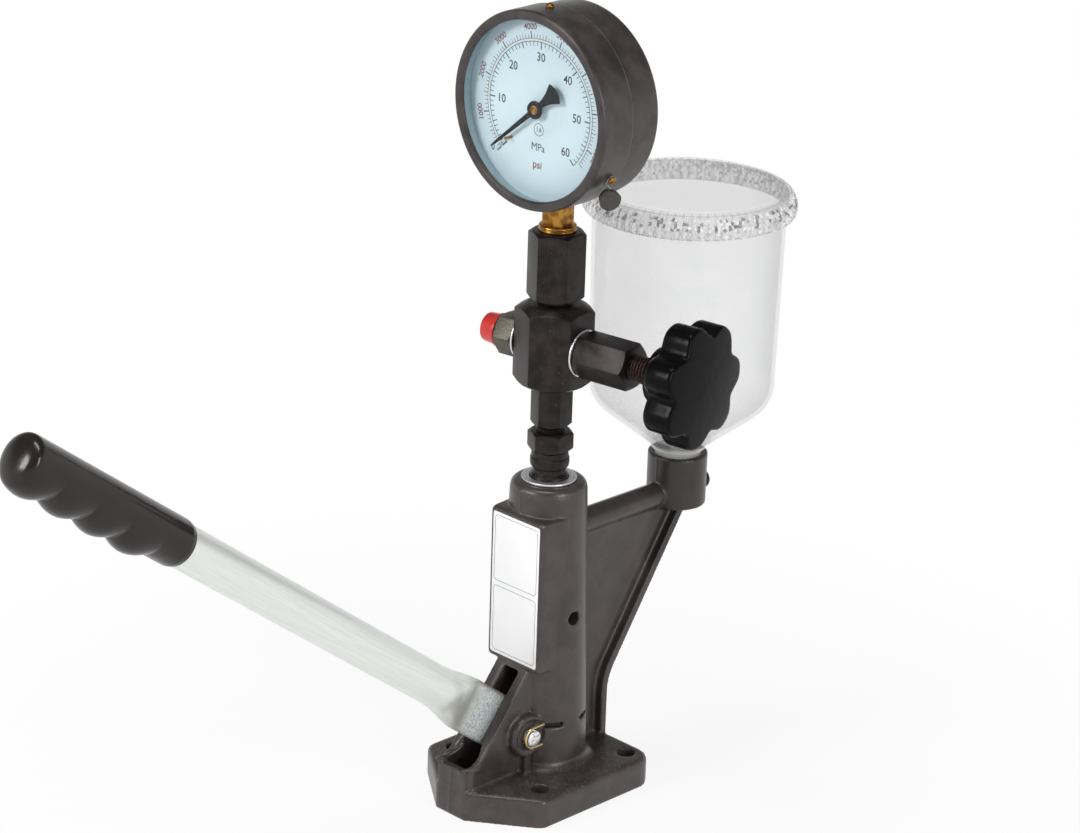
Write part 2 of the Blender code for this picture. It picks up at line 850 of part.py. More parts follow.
def base_plate():
    half = [(base_half_width, base_back_reach, base_back_corner_radius),
            (base_half_width, -base_side_reach, base_side_corner_radius),
            (base_nose_half_width, -base_nose_reach, base_nose_corner_radius)]
    corners = half + [(-x, y, radius) for x, y, radius in reversed(half)]
    plate = prism("base_plate", rounded(corners), 0.0, base_thickness)
    weights = plate.data.attributes.new("bevel_weight_edge", "FLOAT", "EDGE")
    for edge in plate.data.edges:
        heights = [plate.data.vertices[index].co.z for index in edge.vertices]
        weights.data[edge.index].value = 1 if min(heights) > base_thickness / 2 else 0
    bevel = plate.modifiers.new("top_edge", "BEVEL")
    bevel.limit_method = "WEIGHT"
    bevel.width = base_edge_round
    bevel.segments = 2
    return plate


def column_body():
    taper = (column_foot_radius - column_top_radius) / column_height
    inner = base_thickness - overrun
    shoulder = column_height - column_shoulder_round
    foot = base_thickness + column_foot_fillet
    profile = [(0.0, column_height)]
    round_centre = (column_top_radius - column_shoulder_round, shoulder)
    profile += arc(round_centre, column_shoulder_round, pi / 2, 0.0, 4)
    profile += [(column_foot_radius - taper * foot, foot)]
    profile += [(column_foot_radius + column_foot_fillet / 3, base_thickness + column_foot_fillet / 3)]
    profile += [(column_foot_radius + column_foot_fillet, base_thickness)]
    profile += [(column_foot_radius + column_foot_fillet, inner), (0.0, inner)]
    return turned("column_body", profile, segments_body)


def label_block():
    half = [(block_half_width, -block_front_reach, block_edge_round),
            (block_root_half_width, -block_root_reach, 0.0),
            (block_root_half_width / 2, 0.0, 0.0)]
    corners = half + [(-x, y, radius) for x, y, radius in reversed(half)]
    made = prism("label_block", rounded(corners), block_bottom, block_top)
    bevel = made.modifiers.new("edges", "BEVEL")
    bevel.limit_method = "ANGLE"
    bevel.angle_limit = bevel_corner_angle
    bevel.width = block_edge_round / 2
    bevel.segments = 2
    return made


def fork_body():
    low = base_thickness - overrun
    front = -(base_nose_reach - fork_front_inset)
    slope_top = (-(block_front_reach - clearance), block_bottom + clearance)
    knee = -ear_knee_reach
    side = rounded([(front, low, 0.0), (front, fork_front_top, fork_front_radius / 2),
                    (knee, fork_front_top, ear_knee_radius), (*slope_top, 0.0),
                    (-fork_root_reach, block_bottom + overrun, 0.0), (-fork_root_reach, low, 0.0)])
    made = prism("fork_body", side, -fork_half_width, fork_half_width, rotation=side_view)
    plan = rounded([(-fork_half_width * 2, -fork_root_reach / 2, 0.0),
                    (-fork_half_width, front + fork_front_radius, 0.0),
                    (-fork_half_width + fork_front_radius, front, 0.0),
                    (fork_half_width - fork_front_radius, front, 0.0),
                    (fork_half_width, front + fork_front_radius, 0.0),
                    (fork_half_width * 2, -fork_root_reach / 2, 0.0)])
    keep_common(made, prism("fork_plan", plan, 0.0, column_height))
    return made


def fork_channel():
    half = [(channel_half_width, 0.0, 0.0), (channel_half_width, -channel_narrow_reach, 0.0),
            (channel_mouth_half_width, -channel_wide_reach, 0.0),
            (channel_mouth_half_width, -base_nose_reach - overrun, 0.0)]
    corners = half + [(-x, y, radius) for x, y, radius in reversed(half)]
    return prism("fork_channel", rounded(corners), channel_floor, block_bottom - overrun)


def reservoir_arm(body):
    root = column_top_radius / 2
    bar_end = reservoir_y
    join(body, cylinder("arm_bar", arm_bar_radius, root + arm_bar_radius / 2, bar_end, segments_medium,
                        gallery_frame))
    knee_y = base_back_reach - flange_setback
    rise = cup_boss_bottom - flange_knee_height
    run = reservoir_y - knee_y
    low = base_thickness - overrun
    outer_corners = [(knee_y, low, 0.0), (knee_y, flange_knee_height, flange_knee_radius),
                     (reservoir_y, cup_boss_bottom, 0.0)]
    head = (reservoir_y + run * overrun / rise, cup_boss_bottom + overrun)
    top = (root, cup_boss_bottom + overrun)
    outline = rounded(outer_corners + [(*head, 0.0), (*top, 0.0)], 6)
    outer_line = outline[:-1]
    inner_line = offset_path(outer_line, -flange_thickness)
    flange = outer_line + list(reversed(inner_line))
    join(body, prism("arm_flange", flange, -flange_half_width, flange_half_width, rotation=side_view))
    middle_line = offset_path(outer_line, -flange_thickness / 2)
    web = middle_line + [(root, middle_line[-1][1]), (root, low)]
    join(body, prism("arm_web", web, -web_half_thickness, web_half_thickness, rotation=side_view))
    slant = atan2(rise, run)
    edge_y = knee_y - web_pocket_margin / sin(slant) + (web_pocket_bottom - flange_knee_height) / tan(slant)
    pocket_top = gallery_height - arm_bar_radius
    edge_top_y = edge_y + (pocket_top - web_pocket_bottom) / tan(slant)
    pocket = rounded([(root, web_pocket_bottom, 0.0), (edge_y, web_pocket_bottom, web_pocket_margin / 2),
                      (edge_top_y, pocket_top, 0.0), (root, pocket_top, 0.0)])
    floor = web_half_thickness - web_pocket_depth
    for side, name in ((-1, "web_pocket_left"), (1, "web_pocket_right")):
        ends = sorted((side * floor, side * (web_half_thickness + overrun)))
        cut(body, prism(name, pocket, ends[0], ends[1], rotation=side_view))


def body_casting():
    body = base_plate()
    column = column_body()
    front = (-block_front_reach - column_foot_radius, -block_front_reach)
    cut(column, box("block_face", (-block_half_width, block_half_width), front, (block_bottom, block_top)))
    join(body, column, label_block(), fork_body())
    join(body, cylinder("pivot_boss", boss_radius, -boss_reach, boss_reach, segments_medium, pivot_frame))
    ribs = box("boss_ribs", (-rib_reach, rib_reach), (pivot_y - rib_half_width, pivot_y + rib_half_width),
               (base_thickness - overrun, pivot_z - boss_radius / 2))
    join(body, ribs)
    reservoir_arm(body)
    join(body, cylinder("cup_boss", cup_boss_radius, cup_boss_bottom, cup_boss_top, segments_body,
                        reservoir_frame))
    cut(body, cylinder("spring_chamber", spring_chamber_radius, -overrun, spring_chamber_top, segments_large))
    cut(body, cylinder("barrel_bore", barrel_bore_radius, spring_chamber_top - overrun,
                       top_bore_floor + overrun, segments_medium))
    cut(body, cylinder("top_bore", top_bore_radius, top_bore_floor, column_height + overrun, segments_medium))
    cut(body, fork_channel())
    cut(body, cylinder("pivot_hole", pin_radius + clearance, -boss_reach - overrun, boss_reach + overrun,
                       segments_small, pivot_frame))
    for index, (x, y) in enumerate(hole_places):
        cut(body, cylinder("base_hole_%d" % index, base_hole_diameter / 2, -overrun, base_thickness + overrun,
                           segments_small, location=(x, y, 0.0)))
    cut(body, cylinder("locating_hole", locating_hole_radius, 0.0, column_foot_radius + overrun,
                       segments_small, locating_frame))
    for index, middle in enumerate((0.0, pi)):
        for side in (-1, 1):
            first = middle + side * slot_start
            last = middle + side * slot_end
            slot = arc((0.0, 0.0), clip_inner_radius, first, last, 3)
            slot += arc((0.0, 0.0), slot_outer_reach, last, first, 3)
            cut(body, prism("clip_slot_%d_%d" % (index, side + 1), slot, clip_bottom - clearance,
                            clip_top + clearance))
    cut(body, cylinder("cup_socket", cup_socket_radius, cup_socket_floor, cup_boss_top + overrun,
                       segments_large, reservoir_frame))
    cut(body, cylinder("cup_drain", cup_drain_radius, gallery_height, cup_socket_floor + overrun,
                       segments_fine, reservoir_frame))
    cut(body, cylinder("gallery", gallery_radius, 0.0, gallery_plug_seat - gallery_plug_depth + overrun,
                       segments_fine, gallery_frame))
    cut(body, cylinder("plug_bore", gallery_plug_radius + clearance,
                       gallery_plug_seat - gallery_plug_depth - clearance, gallery_plug_seat + overrun,
                       segments_small, gallery_frame))
    return finish(body, "body_casting", paint)


def bottom_plug():
    outer = spring_chamber_radius - clearance
    high = bottom_plug_height
    floor = high - bottom_plug_recess_depth
    profile = [(0.0, floor), (bottom_plug_recess_radius, floor), (bottom_plug_recess_radius, high),
               (outer, high), (outer, 0.0), (0.0, 0.0)]
    finish(turned("plug", profile, segments_large), "bottom_plug", rubber)


def label_plate():
    corners = [(-label_half_width, label_bottom, label_corner_radius),
               (label_half_width, label_bottom, label_corner_radius),
               (label_half_width, label_top, label_corner_radius),
               (-label_half_width, label_top, label_corner_radius)]
    low = block_front_reach + clearance
    made = prism("plate", rounded(corners), low, low + label_thickness, rotation=(pi / 2, 0.0, 0.0))
    finish(made, "label_plate", white_label)


# Pump element inside the column

def pump_barrel():
    inner = plunger_radius + clearance
    profile = [(barrel_flange_radius, barrel_top), (barrel_flange_radius, barrel_flange_bottom),
               (barrel_radius, barrel_flange_bottom), (barrel_radius, barrel_bottom),
               (inner, barrel_bottom), (inner, barrel_top)]
    barrel = turned("barrel", profile, segments_medium)
    port = cylinder("barrel_port", barrel_port_radius, 0.0, barrel_radius + overrun, segments_fine,
                    gallery_frame)
    cut(barrel, port)
    finish(barrel, "pump_barrel", plain_steel)


def plunger():
    profile = [(0.0, plunger_top), (plunger_radius, plunger_top), (plunger_radius, foot_top),
               (plunger_foot_radius, foot_top), (plunger_foot_radius, foot_bottom), (0.0, foot_bottom)]
    finish(turned("plunger_body", profile, segments_small), "plunger", bright_steel)


def tappet():
    outer = spring_chamber_radius - clearance
    edge = tappet_edge_round
    profile = [(0.0, tappet_top), (outer - edge, tappet_top), (outer, tappet_top - edge),
               (outer, tappet_bottom + edge), (outer - edge, tappet_bottom), (0.0, tappet_bottom)]
    finish(turned("tappet_body", profile, segments_medium), "tappet", plain_steel)


def spring_seats():
    outer = spring_chamber_radius - clearance
    lower = tube("lower_seat", outer, plunger_radius + clearance, lower_seat_bottom, lower_seat_top,
                 segments_medium)
    finish(lower, "lower_spring_seat", plain_steel)
    upper = tube("upper_seat", outer, barrel_radius + clearance, upper_seat_bottom, upper_seat_top,
                 segments_medium)
    finish(upper, "upper_spring_seat", plain_steel)


def plunger_spring():
    low = lower_seat_top + clearance + plunger_spring_wire_radius
    high = upper_seat_bottom - clearance - plunger_spring_wire_radius
    points = coil(plunger_spring_radius, low, high, plunger_spring_turns)
    finish(wire("pump_spring", points, plunger_spring_wire_radius, 1), "plunger_spring", spring_steel)


def retaining_clip():
    outer = spring_chamber_radius - clearance
    ring = tube("clip_ring", outer, clip_inner_radius, clip_bottom, clip_top, segments_medium)
    root = (outer + clip_inner_radius) / 2
    for index, middle in enumerate((0.0, pi)):
        for side in (-1, 1):
            first = middle + side * (slot_start + clip_lug_inset)
            last = middle + side * (slot_end - clip_lug_inset)
            lug = arc((0.0, 0.0), root, first, last, 3) + arc((0.0, 0.0), clip_lug_reach, last, first, 3)
            join(ring, prism("clip_lug_%d_%d" % (index, side + 1), lug, clip_bottom, clip_top))
    mouth = box("clip_mouth", (-clip_mouth_half_width, clip_mouth_half_width), (-outer - overrun, 0.0),
                (clip_bottom - overrun, clip_top + overrun))
    cut(ring, mouth)
    finish(ring, "retaining_clip", spring_steel)


def locating_screw():
    start = barrel_radius + 2 * clearance
    tip_end = start + locating_screw_tip_length
    end = start + locating_screw_length
    profile = [(0.0, end), (locating_screw_radius, end), (locating_screw_radius, tip_end),
               (locating_screw_tip_radius, start), (0.0, start)]
    screw = turned("locating_body", profile, segments_small, locating_frame)
    slot = box("locating_slot", (-locating_screw_slot_half_width, locating_screw_slot_half_width),
               (-locating_screw_radius - overrun, locating_screw_radius + overrun),
               (end - locating_screw_slot_depth, end + overrun), locating_frame)
    cut(screw, slot)
    finish(screw, "locating_screw", black_oxide)


# Delivery valve, holder and gasket

def delivery_valve():
    bore = valve_stem_radius + clearance
    seat = tube("seat", barrel_flange_radius, bore, valve_seat_bottom, valve_seat_top, segments_medium)
    finish(seat, "delivery_valve_seat", plain_steel)
    head_bottom = valve_seat_top + clearance
    head_top = head_bottom + valve_head_height
    profile = [(0.0, head_top + valve_guide_height), (valve_guide_radius, head_top + valve_guide_height),
               (valve_guide_radius, head_top), (valve_head_radius, head_top),
               (valve_head_radius, head_bottom + valve_head_height / 2), (valve_stem_radius, head_bottom),
               (valve_stem_radius, head_bottom - valve_stem_length), (0.0, head_bottom - valve_stem_length)]
    finish(turned("valve_body", profile, segments_small), "delivery_valve", bright_steel)
    low = head_top + clearance + delivery_spring_wire_radius
    high = holder_cavity_top - clearance - delivery_spring_wire_radius
    points = coil(delivery_spring_radius, low, high, delivery_spring_turns)
    spring = wire("valve_spring", points, delivery_spring_wire_radius, 1)
    finish(spring, "delivery_valve_spring", spring_steel)
    gasket = tube("gasket", barrel_flange_radius, gasket_inner_radius, gasket_bottom, gasket_top,
                  segments_medium)
    finish(gasket, "holder_gasket", copper)


def delivery_valve_holder():
    bore = riser_thread_radius + clearance
    profile = [(holder_neck_radius, holder_top), (holder_neck_radius, holder_ring_top),
               (holder_flare_radius, holder_ring_top), (holder_flare_radius, holder_ring_bottom),
               (holder_groove_radius, holder_groove_top), (holder_groove_radius, holder_groove_bottom),
               (holder_flare_radius, column_height + top_washer_thickness),
               (holder_flare_radius, holder_shoulder_bottom),
               (barrel_flange_radius, holder_shoulder_bottom), (barrel_flange_radius, holder_bottom),
               (holder_cavity_radius, holder_bottom), (holder_cavity_radius, holder_cavity_top),
               (passage_radius, holder_cavity_top), (passage_radius, holder_thread_floor),
               (bore, holder_thread_floor), (bore, holder_top)]
    finish(turned("holder", profile, segments_medium), "delivery_valve_holder", black_oxide)
    washer = tube("top_washer", top_washer_outer_radius, top_washer_inner_radius, top_washer_bottom,
                  top_washer_bottom + top_washer_thickness, segments_large)
    finish(washer, "column_top_washer", bright_steel)


# Fittings above the column

def lock_nut():
    high = lock_nut_bottom + lock_nut_height
    nut = hexagon("nut", lock_nut_across_flats, lock_nut_bottom, high, lock_nut_turn, "both")
    cut(nut, cylinder("nut_bore", riser_thread_radius + clearance, lock_nut_bottom - overrun, high + overrun,
                      segments_medium))
    finish(nut, "lock_nut", black_oxide)


def riser_connector():
    low = holder_thread_floor + clearance
    riser = hexagon("riser", riser_hex_across_flats, riser_hex_bottom, riser_hex_top, 0.0, "low",
                    upper_frame)
    join(riser, cylinder("riser_thread", riser_thread_radius, low, riser_thread_top, segments_medium,
                         upper_frame))
    cut(riser, cylinder("riser_passage", passage_radius, low - overrun, riser_thread_top + overrun,
                        segments_fine, upper_frame))
    finish(riser, "riser_connector", black_oxide)


def cross_block():
    corner = block_hex_across_flats / sqrt(3)
    drop = (corner - cross_block_face_radius) * tan(hex_chamfer)
    outer = corner + overrun
    slope = overrun * tan(hex_chamfer)
    low = cross_block_bottom
    high = cross_block_top
    block = cylinder("cross_hex", corner, low - overrun, high + overrun, 6, upper_frame)
    profile = [(0.0, high), (cross_block_face_radius, high), (outer, high - drop - slope),
               (outer, low + drop + slope), (cross_block_face_radius, low), (0.0, low)]
    keep_common(block, turned("cross_turning", profile, segments_medium, upper_frame))
    cut(block, cylinder("lower_port", riser_thread_radius + clearance, low - overrun, lower_port_top,
                        segments_medium, upper_frame))
    cut(block, cylinder("upper_port", gauge_nut_thread_radius + clearance, upper_port_floor, high + overrun,
                        segments_medium, upper_frame))
    cut(block, cylinder("cross_passage", cross_passage_radius, lower_port_top - overrun,
                        upper_port_floor + overrun, segments_fine, upper_frame))
    cut(block, cylinder("valve_port", bonnet_thread_radius + clearance, valve_port_floor, side_face + overrun,
                        segments_medium, valve_frame))
    cut(block, cylinder("outlet_port", outlet_thread_radius + clearance, outlet_port_floor,
                        side_face + overrun, segments_medium, outlet_frame))
    cut(block, cylinder("side_passage", cross_passage_radius, -outlet_port_floor - overrun,
                        valve_port_floor + overrun, segments_fine, valve_frame))
    finish(block, "cross_block", black_oxide)


def gauge_nut():
    nut = hexagon("gauge_hex", gauge_nut_across_flats, gauge_nut_hex_bottom, gauge_nut_top,
                  gauge_nut_turn, "both")
    low = upper_port_floor + clearance
    neck_low = cross_block_top + clearance
    neck_high = gauge_nut_hex_bottom + overrun
    profile = [(0.0, neck_high), (gauge_nut_neck_radius, neck_high),
               (gauge_nut_neck_radius, neck_low), (gauge_nut_thread_radius, neck_low),
               (gauge_nut_thread_radius, low), (0.0, low)]
    join(nut, turned("gauge_nut_thread", profile, segments_medium))
    cut(nut, cylinder("gauge_nut_passage", passage_radius, low - overrun, gauge_nut_socket_floor + overrun,
                      segments_fine))
    cut(nut, cylinder("gauge_nut_socket", stem_thread_radius + clearance, gauge_nut_socket_floor,
                      gauge_nut_top + overrun, segments_medium))
    finish(nut, "gauge_nut", black_oxide)


def gauge_stem():
    collar_low = gauge_nut_top + clearance
    collar_high = collar_low + stem_collar_height
    profile = [(0.0, stem_top), (stem_radius, stem_top), (stem_radius, collar_high),
               (stem_collar_radius, collar_high), (stem_collar_radius, collar_low),
               (stem_thread_radius, collar_low), (stem_thread_radius, stem_thread_bottom),
               (0.0, stem_thread_bottom)]
    stem = turned("stem", profile, segments_medium)
    near = stem_flats_across / 2
    far = stem_radius + overrun
    for index in range(4):
        turn = gauge_yaw + pi / 4 + index * pi / 2
        heights = (collar_high + clearance, stem_flats_top)
        flat = box("stem_flat_%d" % index, (near, far), (-far, far), heights, rotation=(0.0, 0.0, turn))
        cut(stem, flat)
    cut(stem, cylinder("stem_passage", passage_radius, stem_thread_bottom - overrun, stem_bore_top,
                       segments_fine))
    finish(stem, "gauge_stem", brass)


# Gauge

def gauge_case():
    inner = case_radius - case_wall
    rear = -case_rear_depth
    floor = rear + case_wall
    corner = arc((case_radius - case_rear_round, rear + case_rear_round), case_rear_round, 0.0, -pi / 2, 3)
    inner_corner = arc((inner - case_rear_round, floor + case_rear_round), case_rear_round, -pi / 2, 0.0, 3)
    profile = [(0.0, floor)] + inner_corner + [(inner, case_rim_reach), (case_radius, case_rim_reach)]
    profile += corner + [(0.0, rear)]
    case = turned("case", profile, segments_large, gauge_frame)
    cut(case, stem_hole("case_stem_hole"))
    screw_holes(case, "case_screw_hole")
    finish(case, "gauge_case", black_enamel)


def stem_hole(name):
    return cylinder(name, stem_radius + clearance, -bezel_radius - overrun, -case_radius / 2,
                    segments_medium, gauge_frame, rotation=(-pi / 2, 0.0, 0.0))


def screw_holes(target, name):
    for index, angle in enumerate(bezel_screw_angles):
        cut(target, cylinder("%s_%d" % (name, index), bezel_screw_shank_radius + clearance, case_radius / 2,
                             bezel_radius + overrun, segments_fine, gauge_frame,
                             (0.0, 0.0, bezel_screw_reach), (0.0, pi / 2, angle)))


def gauge_bezel():
    inner = case_radius + clearance
    front = bezel_front_reach
    lip_back = front - bezel_lip_thickness
    corner = arc((bezel_radius - bezel_round, front - bezel_round), bezel_round, pi / 2, 0.0, 4)
    profile = [(bezel_lip_radius, front - bezel_lip_thickness / 3)]
    profile += [(bezel_lip_radius + bezel_lip_thickness / 2, front)] + corner
    profile += [(bezel_radius, bezel_rear_reach), (inner, bezel_rear_reach), (inner, lip_back),
                (bezel_lip_radius, lip_back)]
    bezel = turned("bezel", profile, segments_large, gauge_frame)
    cut(bezel, stem_hole("bezel_stem_notch"))
    screw_holes(bezel, "bezel_screw_hole")
    finish(bezel, "gauge_bezel", black_enamel)


def gauge_glass():
    high = bezel_front_reach - bezel_lip_thickness - clearance
    made = cylinder("glass", case_radius, high - glass_thickness, high, segments_large, gauge_frame)
    finish(made, "gauge_glass", glass)


def gauge_dial():
    dial = tube("dial", dial_radius, dial_hole_radius, dial_face_reach - dial_thickness, dial_face_reach,
                segments_large, gauge_frame)
    place = stop_pin_place()
    cut(dial, cylinder("stop_pin_hole", stop_pin_radius + clearance, 0.0, dial_face_reach + overrun,
                       segments_fine, gauge_frame, (*place, 0.0)))
    finish(dial, "gauge_dial", dial_paint)
    start = dial_face_reach - dial_thickness - stop_pin_radius
    pin = cylinder("stop_pin", stop_pin_radius, start, start + stop_pin_length, segments_fine, gauge_frame,
                   (*place, 0.0))
    finish(pin, "pointer_stop_pin", brass)


def stop_pin_place():
    angle = pi / 2 - pointer_rest_angle + stop_pin_offset
    return stop_pin_ring * cos(angle), stop_pin_ring * sin(angle)


def gauge_pointer():
    direction = pi / 2 - pointer_rest_angle
    low = pointer_plane_reach - pointer_thickness / 2
    half = [(pointer_length, pointer_tip_half_width), (-pointer_tail_root, pointer_half_width),
            (-pointer_tail_length, pointer_tail_half_width)]
    outline = half + [(x, -y) for x, y in reversed(half)]
    blade = prism("blade", outline, low, low + pointer_thickness, gauge_frame,
                  rotation=(0.0, 0.0, direction))
    hub_low = pointer_plane_reach - pointer_hub_thickness / 2
    join(blade, cylinder("pointer_hub", pointer_hub_radius, hub_low, hub_low + pointer_hub_thickness,
                         segments_small, gauge_frame))
    cut(blade, cylinder("pointer_bore", pointer_shaft_radius + clearance, hub_low - overrun,
                        hub_low + pointer_hub_thickness + overrun, segments_fine, gauge_frame))
    finish(blade, "gauge_pointer", pointer_black)
    pinion_front = pinion_rear + pinion_length
    profile = [(0.0, pointer_shaft_front), (pointer_shaft_radius, pointer_shaft_front),
               (pointer_shaft_radius, pinion_front), (pinion_radius, pinion_front),
               (pinion_radius, pinion_rear), (pointer_shaft_radius, pinion_rear),
               (pointer_shaft_radius, pointer_shaft_rear), (0.0, pointer_shaft_rear)]
    finish(turned("shaft", profile, segments_fine, gauge_frame), "pointer_shaft", brass)


sector_pivot_y = -(sector_radius + pinion_radius + clearance)


def gauge_movement():
    back = movement_back_plane
    front = movement_front_plane
    thick = movement_plate_thickness
    foot = stem_top + clearance - gauge_height
    waist = -movement_lower_reach
    half = [(movement_half_width, movement_head_reach), (movement_half_width, waist),
            (movement_foot_half_width, waist - movement_foot_half_width / 2),
            (movement_foot_half_width, foot)]
    plate = half + [(-x, y) for x, y in reversed(half)]
    body = prism("movement_back", plate, back, back + thick, gauge_frame)
    head = [(movement_half_width, movement_head_reach), (-movement_half_width, movement_head_reach),
            (-movement_half_width, waist), (movement_half_width, waist)]
    join(body, prism("movement_front", head, front, front + thick, gauge_frame))
    x = movement_half_width - movement_pillar_margin
    low_y = waist + movement_pillar_margin
    high_y = movement_head_reach - movement_pillar_margin
    for index, place in enumerate(((x, high_y), (-x, high_y), (x, low_y), (-x, low_y))):
        join(body, cylinder("pillar_%d" % index, movement_pillar_radius, back + thick / 2, front + thick / 2,
                            segments_fine, gauge_frame, (*place, 0.0)))
    dial_back = dial_face_reach - dial_thickness - clearance
    for index, side in enumerate((-1, 1)):
        join(body, cylinder("dial_pillar_%d" % index, movement_pillar_radius, front + thick / 2, dial_back,
                            segments_fine, gauge_frame, (side * dial_pillar_x, 0.0, 0.0)))
    through = (back - overrun, front + thick + overrun)
    cut(body, cylinder("shaft_bore", pointer_shaft_radius + clearance, *through, segments_fine, gauge_frame))
    cut(body, cylinder("sector_bore", sector_pin_radius + clearance, *through, segments_fine, gauge_frame,
                       (0.0, sector_pivot_y, 0.0)))
    finish(body, "movement_frame", brass)


def sector_gear():
    high = sector_plane + sector_thickness
    middle = pi / 2 + sector_start_turn
    first = middle - sector_half_angle
    last = middle + sector_half_angle
    fan = [(0.0, 0.0)] + arc((0.0, 0.0), sector_radius, first, last, 8)
    place = (0.0, sector_pivot_y, 0.0)
    gear = prism("sector_fan", fan, sector_plane, high, gauge_frame, place)
    join(gear, cylinder("sector_hub", sector_hub_radius, sector_plane - sector_thickness,
                        high + sector_thickness, segments_small, gauge_frame, place))
    middle_plane = (sector_plane + high) / 2
    join(gear, cylinder("sector_pin", sector_pin_radius, middle_plane - sector_pin_length,
                        middle_plane + sector_pin_length, segments_fine, gauge_frame, place))
    tail = box("sector_tail", (0.0, sector_tail_length), (-sector_tail_half_width, sector_tail_half_width),
               (sector_plane - sector_thickness / 2, high - sector_thickness / 2), gauge_frame, place,
               (0.0, 0.0, sector_start_turn))
    join(gear, tail)
    finish(gear, "sector_gear", brass)


def tip_link():
    tail_x = (sector_tail_length - sector_tail_half_width) * cos(sector_start_turn)
    tail_y = sector_pivot_y + (sector_tail_length - sector_tail_half_width) * sin(sector_start_turn)
    low = sector_plane + sector_thickness / 2 + clearance
    tip = Vector((bourdon_radius * cos(bourdon_end), bourdon_radius * sin(bourdon_end)))
    direction = atan2(tip.y - tail_y, tip.x - tail_x)
    span = (tip - Vector((tail_x, tail_y))).length
    length = span - bourdon_tube_radius - link_half_width - link_free_gap
    outline = arc((0.0, 0.0), link_half_width, pi / 2, 3 * pi / 2, 4)
    outline += arc((length, 0.0), link_half_width, -pi / 2, pi / 2, 4)
    link = prism("link", outline, low, low + link_thickness, gauge_frame, (tail_x, tail_y, 0.0),
                 (0.0, 0.0, direction))
    finish(link, "tip_link", brass)


def bourdon_tube():
    bow = arc((0.0, 0.0), bourdon_radius, bourdon_start, bourdon_end, bourdon_points)
    points = [(*place, bourdon_plane) for place in bow]
    finish(wire("bourdon", points, bourdon_tube_radius, 2, parent=gauge_frame), "bourdon_tube", copper)


def bezel_screws():
    for index, angle in enumerate(bezel_screw_angles):
        sealed = index == 1
        neck = seal_screw_neck if sealed else clearance
        low = bezel_radius + neck
        profile = [(0.0, low + bezel_screw_head_height),
                   (bezel_screw_head_radius * bezel_screw_crown_share, low + bezel_screw_head_height),
                   (bezel_screw_head_radius, low + bezel_screw_head_height * bezel_screw_edge_share),
                   (bezel_screw_head_radius, low), (bezel_screw_shank_radius, low),
                   (bezel_screw_shank_radius, case_radius - case_wall), (0.0, case_radius - case_wall)]
        screw = turned("bezel_screw", profile, segments_fine, gauge_frame, (0.0, 0.0, bezel_screw_reach),
                       (0.0, pi / 2, angle))
        finish(screw, "bezel_screw_%d" % (index + 1), brass)


def lead_seal():
    """The wire loops round the neck of the second bezel screw and ends inside the lead."""
    angle = bezel_screw_angles[1]
    ring = bezel_screw_shank_radius + clearance + seal_wire_radius
    reach = bezel_radius + seal_screw_neck / 2
    eye = Vector((reach * cos(angle), reach * sin(angle), bezel_screw_reach))
    tangent = Vector((sin(angle), -cos(angle), 0.0))
    front = Vector((0.0, 0.0, 1))
    turns = [seal_loop_start + seal_loop_sweep * step / seal_loop_steps
             for step in range(seal_loop_steps + 1)]
    points = [eye + tangent * (ring * cos(turn)) + front * (ring * sin(turn))
              for turn in turns]
    spread = front * (seal_wire_radius * 2)
    bend = eye + tangent * (bezel_screw_head_radius + seal_wire_radius * 3)
    lead_middle = eye + Vector((0.0, -seal_drop, 0.0))
    leg_top = lead_middle + Vector((0.0, seal_lead_radius * seal_leg_top_share, 0.0))
    leg_end = leg_top - Vector((0.0, seal_lead_radius * seal_leg_depth_share, 0.0))
    tail = [bend, leg_top, leg_end]
    path = [place + spread for place in reversed(tail)] + points + [place - spread for place in tail]
    finish(wire("seal_loop", path, seal_wire_radius, 1, parent=gauge_frame), "seal_wire", plain_steel)
    half = seal_lead_thickness / 2
    edge = seal_lead_thickness / 5
    profile = [(0.0, half), (seal_lead_radius - edge, half), (seal_lead_radius, half - edge),
               (seal_lead_radius, edge - half), (seal_lead_radius - edge, -half), (0.0, -half)]
    seal = turned("seal_body", profile, segments_small, gauge_frame, lead_middle, (0.0, pi / 2, 0.0))
    well = 2 * seal_wire_radius + clearance
    depth = seal_lead_radius * seal_pocket_share
    pocket = box("seal_pocket", (-well, well), (depth, seal_lead_radius + overrun), (-2 * well, 2 * well),
                 gauge_frame, lead_middle)
    cut(seal, pocket)
    finish(seal, "lead_seal", lead)


# Shut-off valve

def valve_washer():
    made = tube("washer", valve_washer_outer_radius, valve_washer_inner_radius, side_washer_start,
                side_washer_start + side_washer_thickness, segments_medium, valve_frame)
    finish(made, "valve_washer", bright_steel)


def valve_bonnet():
    bonnet = hexagon("bonnet", bonnet_across_flats, side_hex_start, bonnet_end, bonnet_turn, "both",
                     valve_frame)
    low = valve_port_floor + clearance
    join(bonnet, cylinder("bonnet_thread", bonnet_thread_radius, low, side_hex_start + overrun,
                          segments_medium, valve_frame))
    cut(bonnet, cylinder("bonnet_bore", spindle_radius + clearance, bonnet_pocket_floor, bonnet_end + overrun,
                         segments_medium, valve_frame))
    cut(bonnet, cylinder("needle_bore", needle_radius + clearance, low - overrun,
                         bonnet_pocket_floor + overrun, segments_small, valve_frame))
    finish(bonnet, "valve_bonnet", black_oxide)


